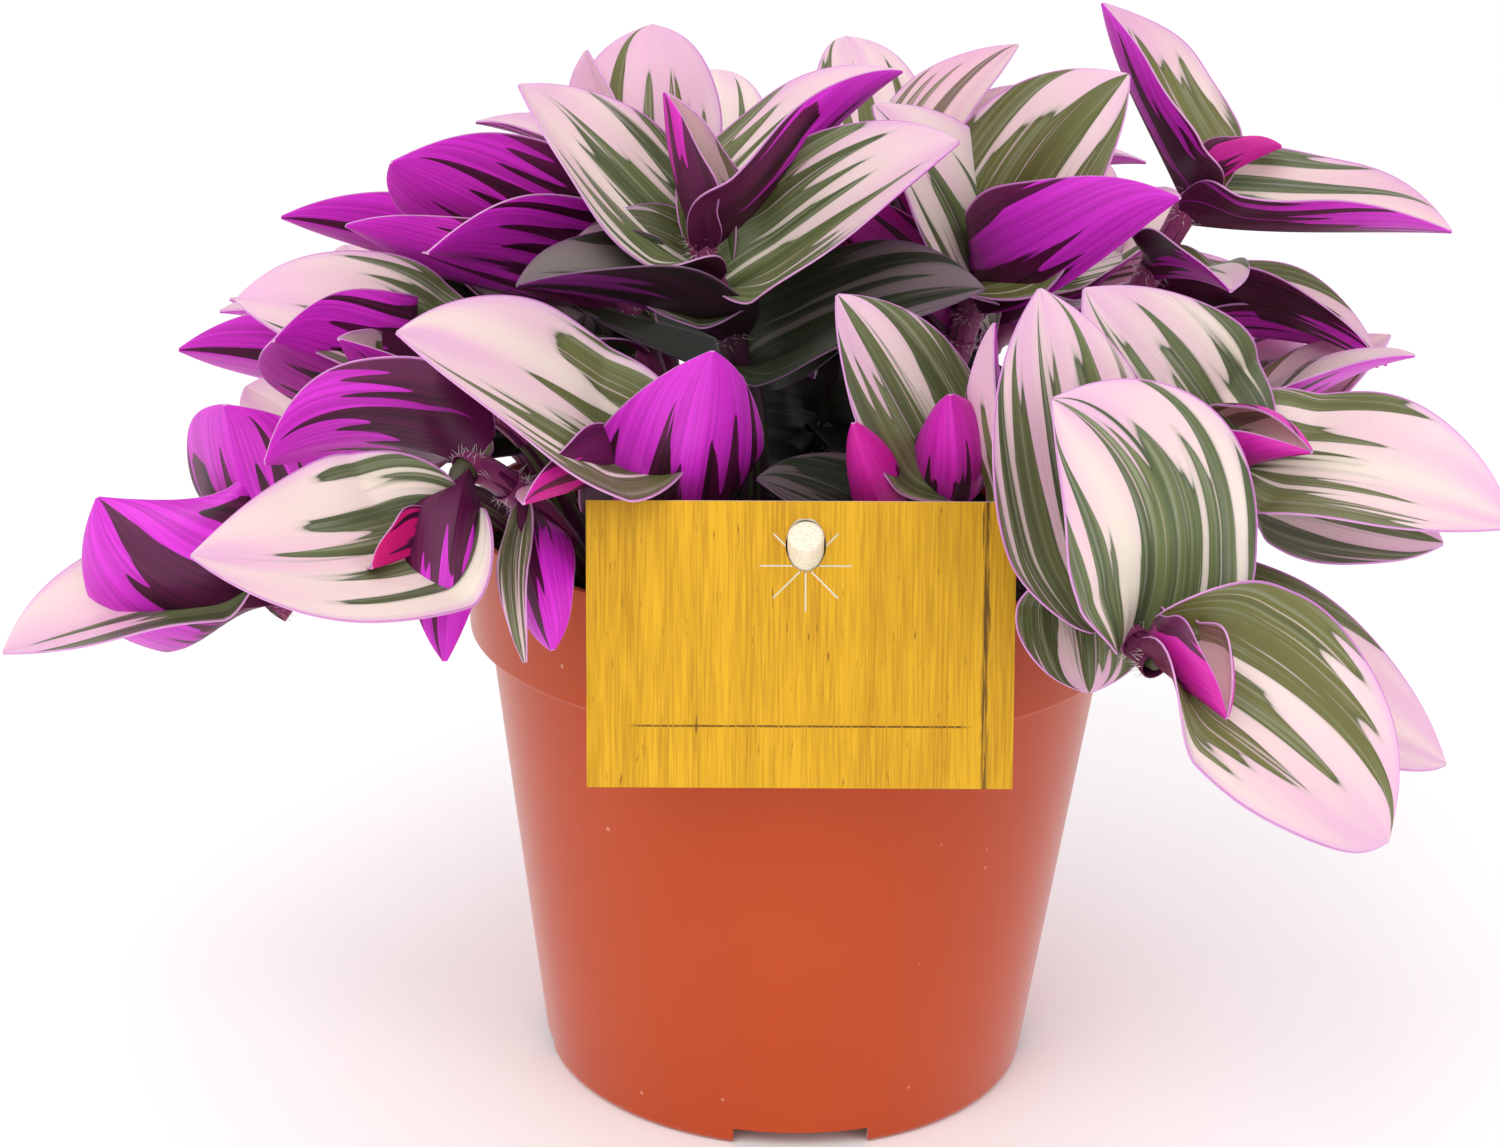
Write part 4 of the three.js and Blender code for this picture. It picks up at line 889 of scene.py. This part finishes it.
def cut(mesh, cutters):
    """The mesh less each of the cutters."""
    scene = bpy.context.scene.collection
    target = bpy.data.objects.new("cut", mesh)
    scene.objects.link(target)
    folder = bpy.data.collections.new("cutters")
    scene.children.link(folder)
    for k, cutter in enumerate(cutters):
        folder.objects.link(bpy.data.objects.new(f"cutter_{k}", cutter))
    modifier = target.modifiers.new("cut", "BOOLEAN")
    modifier.operand_type, modifier.collection = "COLLECTION", folder
    modifier.operation, modifier.solver = "DIFFERENCE", "EXACT"
    ready = target.evaluated_get(bpy.context.evaluated_depsgraph_get())
    made = bpy.data.meshes.new_from_object(ready)
    for item in [target, *folder.objects]:
        bpy.data.objects.remove(item)
    bpy.data.collections.remove(folder)
    return made


def smooth_mesh(mesh, name, materials):
    mesh.name = name
    mesh.shade_smooth()
    mesh.set_sharp_from_angle(angle=math.radians(SOLID_SMOOTH))
    mesh.materials.clear()
    for material in materials:
        mesh.materials.append(material)
    return mesh


def stick_mesh(name, radius, edge):
    """The stick, or with a greater radius the room that it takes up in the card."""
    length = (Vector(STICK_THROUGH) - Vector(STICK_FROM)).length + STICK_PAST
    profile = rounded_profile([(0, 0), (radius, 0), (radius, length), (0, length)],
                              {1: edge, 2: edge})
    mesh = turned_mesh(name, profile, 48)
    mesh.transform(Matrix.Translation([c * MM for c in STICK_FROM]) @ stick_turn().to_4x4())
    return mesh


# ---------------------------------------------------------------- crumbs and hairs
def crumb_bed():
    """The top of the potting mix, drawn a little under its surface."""
    edge = BAND_RADIUS - WALL - 1.2
    rings = [(edge, SOIL_LEVEL), (edge * 0.8, SOIL_LEVEL + 1.5), (edge * 0.45, SOIL_CROWN - 0.7),
             (1.0, SOIL_CROWN - 0.1)]
    sides = 48
    turns = np.linspace(0, 2 * np.pi, sides, endpoint=False)
    points = [(r * math.cos(t), r * math.sin(t), z) for r, z in rings for t in turns]
    return plain_mesh("crumb_bed", points, grid_faces(len(rings), sides, closed=True).tolist())


def strewing_tree(name, sizes, density, small_shape, scales, turns, upright=False):
    """A Geometry Nodes tree that strews a small shape over a mesh, so many on a square metre, each
    scaled and turned its own way. small_shape gives it, made from the tree's named sizes; upright
    stands it on the mesh before its own turn."""
    tree = bpy.data.node_groups.new(name, "GeometryNodeTree")
    inputs = {"Geometry": "Geometry", **dict.fromkeys(sizes, "Float"), "Seed": "Int",
              "Material": "Material"}
    for label, kind in inputs.items():
        tree.interface.new_socket(label, in_out="INPUT", socket_type="NodeSocket" + kind)
    tree.interface.new_socket("Geometry", in_out="OUTPUT", socket_type="NodeSocketGeometry")
    given = add_node(tree, "NodeGroupInput").node.outputs
    points = add_node(tree, "GeometryNodeDistributePointsOnFaces", {
        "Mesh": given["Geometry"], "Density": density, "Seed": given["Seed"]})
    scale, turn = (
        add_node(tree, "FunctionNodeRandomValue", {0: low, 1: high, "Seed": given["Seed"]},
                 data_type="FLOAT_VECTOR")
        for low, high in (scales, turns)
    )
    if upright:
        turn = add_node(tree, "FunctionNodeRotateRotation", {
            "Rotation": points.node.outputs["Rotation"], "Rotate By": turn}, rotation_space="LOCAL")
    strewn = add_node(tree, "GeometryNodeInstanceOnPoints", {
        "Points": points, "Instance": small_shape(tree, given), "Rotation": turn, "Scale": scale})
    real = add_node(tree, "GeometryNodeRealizeInstances", (strewn,))
    dressed = add_node(tree, "GeometryNodeSetMaterial",
                       {"Geometry": real, "Material": given["Material"]})
    add_node(tree, "NodeGroupOutput", (dressed,))
    return tree


def crumb_shape(tree, given):
    return add_node(tree, "GeometryNodeMeshIcoSphere", {"Radius": given["Crumb"], "Subdivisions": 1})


def hair_shape(tree, given):
    """A fine pointed hair."""
    return add_node(tree, "GeometryNodeMeshCone", {
        "Vertices": 4, "Radius Top": HAIR_TIP * MM, "Radius Bottom": given["Radius"],
        "Depth": given["Length"]})


def grown(name, bed, tree, values):
    """What a Geometry Nodes tree, given its inputs, makes of a mesh."""
    holder = bpy.data.objects.new(name, bed)
    bpy.context.scene.collection.objects.link(holder)
    modifier = holder.modifiers.new(name, "NODES")
    modifier.node_group = tree
    sockets = {s.name: s.identifier for s in tree.interface.items_tree if s.in_out == "INPUT"}
    for label, value in values.items():
        modifier[sockets[label]] = value
    ready = holder.evaluated_get(bpy.context.evaluated_depsgraph_get())
    made = bpy.data.meshes.new_from_object(ready)
    bpy.data.objects.remove(holder)
    made.name = name
    return made


def add_hairs(rims, settings):
    """Grows the hairs that fringe the sheaths."""
    count = len(rims[0][0])
    faces = [grid_faces(2, count, 2 * count * k, closed=True) for k in range(len(rims))]
    bed = plain_mesh("rims", np.concatenate([ring for pair in rims for ring in pair]).tolist(),
                     np.concatenate(faces).tolist())
    tree = strewing_tree("Hairs", ["Length", "Radius"], HAIR_DENSITY, hair_shape, HAIR_SCALES,
                         HAIR_LEANS, upright=True)
    mesh = grown("sheath_hairs", bed, tree, {
        "Length": settings.hair, "Radius": settings.hair_radius, "Seed": settings.hair_seed,
        "Material": fine_hair(settings)})
    finish_piece("sheath_hairs", mesh, "foliage")


# ---------------------------------------------------------------- settings
def length_property(name, description, default):
    return bpy.props.FloatProperty(name=name, description=description, default=default * MM,
                                   min=0, unit="LENGTH", precision=5)


def hex_property(name, description, default):
    return bpy.props.StringProperty(name=name, description=description + ", sRGB hex",
                                    default=default)


class PlantSettings(bpy.types.PropertyGroup):
    rows: bpy.props.IntProperty(name="Rows", description="Faces along a blade", default=48, min=8)
    columns: bpy.props.IntProperty(name="Columns", description="Faces across a blade", default=28,
                                   min=4)
    thickness: length_property("Thickness", "Thickness of a blade at its midrib", 0.6)
    wave: length_property("Wave", "Height of the waves along a blade's margins", 0.9)
    sheath: length_property("Sheath", "Length of the sheath under a blade", 11)
    hair: length_property("Hair", "Length of the hairs at a sheath's rim", 2.2)
    hair_radius: length_property("Hair radius", "Half the thickness of a hair at its foot", 0.045)
    hair_seed: bpy.props.IntProperty(name="Seed", description="Seed of the hairs' places", default=7)
    hair_colour: hex_property("Hair colour", "Hairs", "#EDE6DE")
    cream: hex_property("Cream", "Flesh without green, palest", "#EADFCF")
    pink: hex_property("Pink", "Flesh without green, pinkest", "#E3B9CC")
    lilac: hex_property("Lilac", "Pale flesh near a blade's tip and margins", "#DAA9D0")
    green: hex_property("Green", "Green flesh", "#707A4A")
    deep_green: hex_property("Deep green", "Darkest green flesh", "#36422C")
    olive: hex_property("Olive", "Green flesh of a leaf that has seen more sun", "#6E6A2C")
    haze: hex_property("Haze", "Where a thin green layer lies under pale flesh", "#9DA08A")
    margin: hex_property("Margin", "Fine line along a blade's margin", "#C27ABC")
    magenta: hex_property("Magenta", "Under side over pale flesh", "#DC30D6")
    magenta_deep: hex_property("Deep magenta", "Under side over pale flesh, darkest", "#C022B8")
    maroon: hex_property("Maroon", "Under side over green flesh", "#560A3E")
    maroon_deep: hex_property("Deep maroon", "Under side over green flesh, darkest", "#2C0619")
    dusky: hex_property("Dusky", "Under side over green flesh, where its sap is thin", "#74205A")
    # Painted shade: the near black laid over blades, sheaths and stems that lie deep in the plant.
    shade: hex_property("Shade", "Old leaves deep in the plant", "#141D17")
    young: hex_property("Young", "Under side of a leaf that is still unrolling", "#CC1470")
    blush: hex_property("Blush", "Upper side of a leaf that is still unrolling", "#D9879F")
    stem: hex_property("Stem", "Skin of a stem", "#6E6650")
    sheath_skin: hex_property("Sheath skin", "Skin of a sheath", "#8E2C6C")


class PotSettings(bpy.types.PropertyGroup):
    sides: bpy.props.IntProperty(name="Sides", description="Faces round the pot", default=180, min=24)
    plastic: hex_property("Plastic", "Terracotta-coloured plastic", "#B4400F")
    plastic_light: hex_property("Light plastic", "Its palest flow clouds", "#BC4816")
    scuff: hex_property("Scuff", "Pale scuffs", "#E8B09A")
    peat: hex_property("Peat", "Potting mix", "#15100D")
    bark: hex_property("Bark", "Bits of bark in it", "#3A2A20")
    crumb: length_property("Crumb", "Size of a crumb of the mix", 1.6)
    crumb_seed: bpy.props.IntProperty(name="Seed", description="Seed of the crumbs' places",
                                      default=4)


class CardSettings(bpy.types.PropertyGroup):
    slit: length_property("Slit", "Width of the slits round the stick", 0.25)
    wood: hex_property("Wood", "Printed wood, palest", "#DDA81C")
    wood_dark: hex_property("Dark wood", "Printed wood, darkest", "#B9860F")
    crack: hex_property("Crack", "Printed cracks", "#6E4A10")
    ink: hex_property("Ink", "Ruled line", "#3A1A0A")
    paper: hex_property("Paper", "The card's own white", "#F3EFE2")
    dowel: hex_property("Dowel", "Bare wood of the stick", "#EADCBC")
    dowel_light: hex_property("Light dowel", "Its palest grain", "#FBF5E6")
    pore: hex_property("Pore", "Pores and stains at its end", "#C6AC80")


class StageSettings(bpy.types.PropertyGroup):
    floor: hex_property("Floor", "Floor of the studio", "#FFFFFF")
    surround: bpy.props.FloatProperty(name="Surround", description="Light from all round",
                                      default=1.0, min=0)
    key: bpy.props.FloatProperty(name="Key", description="Power of the main light", default=4,
                                 min=0, unit="POWER")
    fill: bpy.props.FloatProperty(name="Fill", description="Power of the second light", default=1,
                                  min=0, unit="POWER")


GROUPS = {"plant": PlantSettings, "pot": PotSettings, "card": CardSettings, "stage": StageSettings}


def settings_of(context, group):
    return getattr(context.scene, "tradescantia_" + group)


# ---------------------------------------------------------------- operators
class TRADESCANTIA_OT_pot(bpy.types.Operator):
    """Adds the nursery pot, with its rim band, notched foot ring and drained floor."""

    bl_idname = "tradescantia.pot"
    bl_label = "Pot"

    def execute(self, context):
        settings = settings_of(context, "pot")
        inner = BASE_RADIUS + (BODY_RADIUS - BASE_RADIUS) * (FLOOR_RISE + WALL) / BAND_BOTTOM - WALL
        profile = [
            (0, 0), (PAD_RADIUS, 0), (PAD_RADIUS + 0.6, FLOOR_RISE),
            (BASE_RADIUS - 2 * WALL, FLOOR_RISE), (BASE_RADIUS - 1.5 * WALL, 0), (BASE_RADIUS, 0),
            (BODY_RADIUS, BAND_BOTTOM), (BAND_RADIUS, BAND_BOTTOM), (POT_RIM, POT_HEIGHT),
            (POT_RIM - WALL, POT_HEIGHT), (BAND_RADIUS - WALL, BAND_BOTTOM + WALL),
            (BODY_RADIUS - WALL, BAND_BOTTOM), (inner, FLOOR_RISE + WALL),
            (0, FLOOR_RISE + WALL),
        ]
        mesh = turned_mesh("pot", rounded_profile(profile, POT_ROUNDING), settings.sides)
        cutters = []
        for k in range(NOTCH_COUNT):
            turn = Matrix.Rotation(math.radians(360 / NOTCH_COUNT * k + NOTCH_TURN), 4, "Z")
            place = turn @ Matrix.Translation((0, -BASE_RADIUS, 0))
            cutters.append(box_mesh((NOTCH_WIDTH, NOTCH_DEPTH, 2 * NOTCH_HEIGHT), place))
        for k in range(DRAIN_COUNT):
            turn = 2 * math.pi * (k + 0.5) / DRAIN_COUNT
            hole = turned_mesh("cutter", [(0, 0), (DRAIN_RADIUS, 0), (DRAIN_RADIUS, DRAIN_DEPTH),
                                          (0, DRAIN_DEPTH)], 32)
            hole.transform(Matrix.Translation((DRAIN_CIRCLE * MM * math.cos(turn),
                                               DRAIN_CIRCLE * MM * math.sin(turn), 0)))
            cutters.append(hole)
        mesh = smooth_mesh(cut(mesh, cutters), "nursery_pot", [pot_plastic(settings)])
        finish_piece("nursery_pot", mesh, "pot_plastic", "pot")
        return {"FINISHED"}


class TRADESCANTIA_OT_soil(bpy.types.Operator):
    """Finishes the potting mix and strews crumbs over it."""

    bl_idname = "tradescantia.soil"
    bl_label = "Potting mix"

    def execute(self, context):
        settings = settings_of(context, "pot")
        soil = frame["nodes"]["soil"]
        mix = potting_mix(settings)
        soil.data.materials.clear()
        soil.data.materials.append(mix)
        tree = strewing_tree("Crumbs", ["Crumb"], CRUMB_DENSITY, crumb_shape,
                             CRUMB_SCALES, CRUMB_TURNS)
        made = grown("soil_crumbs", crumb_bed(), tree, {
            "Crumb": settings.crumb, "Seed": settings.crumb_seed, "Material": mix})
        finish_piece("soil_crumbs", made, "potting_soil")
        return {"FINISHED"}


class TRADESCANTIA_OT_card(bpy.types.Operator):
    """Adds the wood-print card, slit round the stick that carries it."""

    bl_idname = "tradescantia.card"
    bl_label = "Card"

    def execute(self, context):
        settings = settings_of(context, "card")
        place = Matrix.Translation(Vector(CARD_CENTRE) * MM) @ card_turn().to_4x4()
        middle = place.inverted() @ (Vector(STICK_THROUGH) * MM) / MM
        stick = stick_mesh("cutter", STICK_RADIUS + STICK_ROOM, 0.1)
        stick.transform(place.inverted())
        cutters = [stick]
        for k in range(SLIT_COUNT):
            turn = Matrix.Rotation(2 * math.pi * k / SLIT_COUNT, 4, "Y")
            start = Matrix.Translation((middle.x, -CARD_THICKNESS / 2, middle.z + SLIT_ABOVE))
            size = (SLIT_LENGTH, 2 * SLIT_DEPTH, settings.slit / MM)
            cutters.append(box_mesh(size, start @ turn @ Matrix.Translation((SLIT_LENGTH / 2, 0, 0))))
        sheet = box_mesh((CARD_SIZE[0], CARD_THICKNESS, CARD_SIZE[1]), Matrix())
        mesh = smooth_mesh(cut(sheet, cutters), "wood_print_card",
                           [printed_wood(settings), bare_card(settings)])
        for face in mesh.polygons:
            on_face = abs(abs(face.center.y) - CARD_THICKNESS / 2 * MM) < 0.01 * MM
            face.material_index = 0 if on_face and abs(face.normal.y) > 0.9 else 1
        mesh.transform(place)
        finish_piece("wood_print_card", mesh, "printed_card", "label_card")
        return {"FINISHED"}


class TRADESCANTIA_OT_stick(bpy.types.Operator):
    """Adds the wooden stick through the card."""

    bl_idname = "tradescantia.stick"
    bl_label = "Stick"

    def execute(self, context):
        settings = settings_of(context, "card")
        mesh = stick_mesh("card_stick", STICK_RADIUS, STICK_ROUNDING)
        smooth_mesh(mesh, "card_stick", [turned_wood(settings)])
        finish_piece("card_stick", mesh, "stick_wood", "label_stick")
        return {"FINISHED"}


class TRADESCANTIA_OT_shoots(bpy.types.Operator):
    """Adds every leafy stem, its blades fused to it."""

    bl_idname = "tradescantia.shoots"
    bl_label = "Leafy stems"

    def execute(self, context):
        settings = settings_of(context, "plant")
        materials = [upper_side(settings), under_side(settings), edge_side(settings),
                     stem_skin(settings)]
        rims = []
        for order, shoot in enumerate(all_shoots()):
            rims += add_shoot(*shoot, order, settings, materials)
        add_hairs(rims, settings)
        return {"FINISHED"}


class TRADESCANTIA_OT_stage(bpy.types.Operator):
    """Sets the floor, the soft studio light and the photograph's camera."""

    bl_idname = "tradescantia.stage"
    bl_label = "Floor, light and camera"

    def execute(self, context):
        settings = settings_of(context, "stage")
        scene = context.scene
        scene.view_settings.view_transform = "Standard"
        world = bpy.data.worlds.new("studio")
        scene.world = world
        world.use_nodes = True
        back = world.node_tree.nodes["Background"]
        back.inputs["Color"].default_value = (1, 1, 1, 1)
        back.inputs["Strength"].default_value = settings.surround
        far = FLOOR_REACH / MM
        corners = [(-far, -far, 0), (far, -far, 0), (far, far, 0), (-far, far, 0)]
        mesh = plain_mesh("floor", corners, [(0, 1, 2, 3)])
        mesh.materials.append(new_material("studio paper, matt", 0.9, 1.4, settings.floor)[0])
        floor = bpy.data.objects.new("floor", mesh)
        scene.collection.objects.link(floor)
        aim = Vector(CAMERA_AIM) * MM
        for name, (spot, size) in LAMPS.items():
            light = bpy.data.lights.new(name, "AREA")
            light.energy, light.size = getattr(settings, name), size
            lamp = bpy.data.objects.new(name, light)
            lamp.location = spot
            lamp.rotation_euler = (aim - Vector(spot)).to_track_quat("-Z", "Y").to_euler()
            scene.collection.objects.link(lamp)
        lens = bpy.data.cameras.new("camera")
        lens.sensor_width = 36
        lens.lens = FOCAL_PIXELS / IMAGE_WIDTH * lens.sensor_width
        camera = bpy.data.objects.new("camera", lens)
        rise, roll = math.radians(CAMERA_ELEVATION), math.radians(CAMERA_ROLL)
        ahead = Vector((0, math.cos(rise), -math.sin(rise)))
        level, up = Vector((1, 0, 0)), Vector((0, math.sin(rise), math.cos(rise)))
        right = math.cos(roll) * level + math.sin(roll) * up
        top = math.cos(roll) * up - math.sin(roll) * level
        camera.matrix_world = Matrix.Translation(aim - ahead * CAMERA_DISTANCE * MM) @ Matrix(
            (right, top, -ahead)).transposed().to_4x4()
        scene.collection.objects.link(camera)
        scene.camera = camera
        return {"FINISHED"}


class TRADESCANTIA_PT_panel(bpy.types.Panel):
    """Lists the steps and their settings."""

    bl_idname = "TRADESCANTIA_PT_panel"
    bl_label = "Potted tradescantia"
    bl_space_type = "VIEW_3D"
    bl_region_type = "UI"
    bl_category = "Tradescantia"

    def draw(self, context):
        for step in STEPS:
            self.layout.operator(step.bl_idname)
        for group, kind in GROUPS.items():
            box = self.layout.box()
            for name in kind.__annotations__:
                box.prop(settings_of(context, group), name)


STEPS = (TRADESCANTIA_OT_stage, TRADESCANTIA_OT_pot, TRADESCANTIA_OT_soil, TRADESCANTIA_OT_stick,
         TRADESCANTIA_OT_card, TRADESCANTIA_OT_shoots)


def register():
    for kind in (*GROUPS.values(), *STEPS, TRADESCANTIA_PT_panel):
        bpy.utils.register_class(kind)
    for group, kind in GROUPS.items():
        setattr(bpy.types.Scene, "tradescantia_" + group, bpy.props.PointerProperty(type=kind))


def unregister():
    for group in GROUPS:
        delattr(bpy.types.Scene, "tradescantia_" + group)
    for kind in (TRADESCANTIA_PT_panel, *reversed(STEPS), *GROUPS.values()):
        bpy.utils.unregister_class(kind)


def main():
    register()
    for step in STEPS:
        group, name = step.bl_idname.split(".")
        getattr(getattr(bpy.ops, group), name)()


if __name__ == "__main__":
    main()
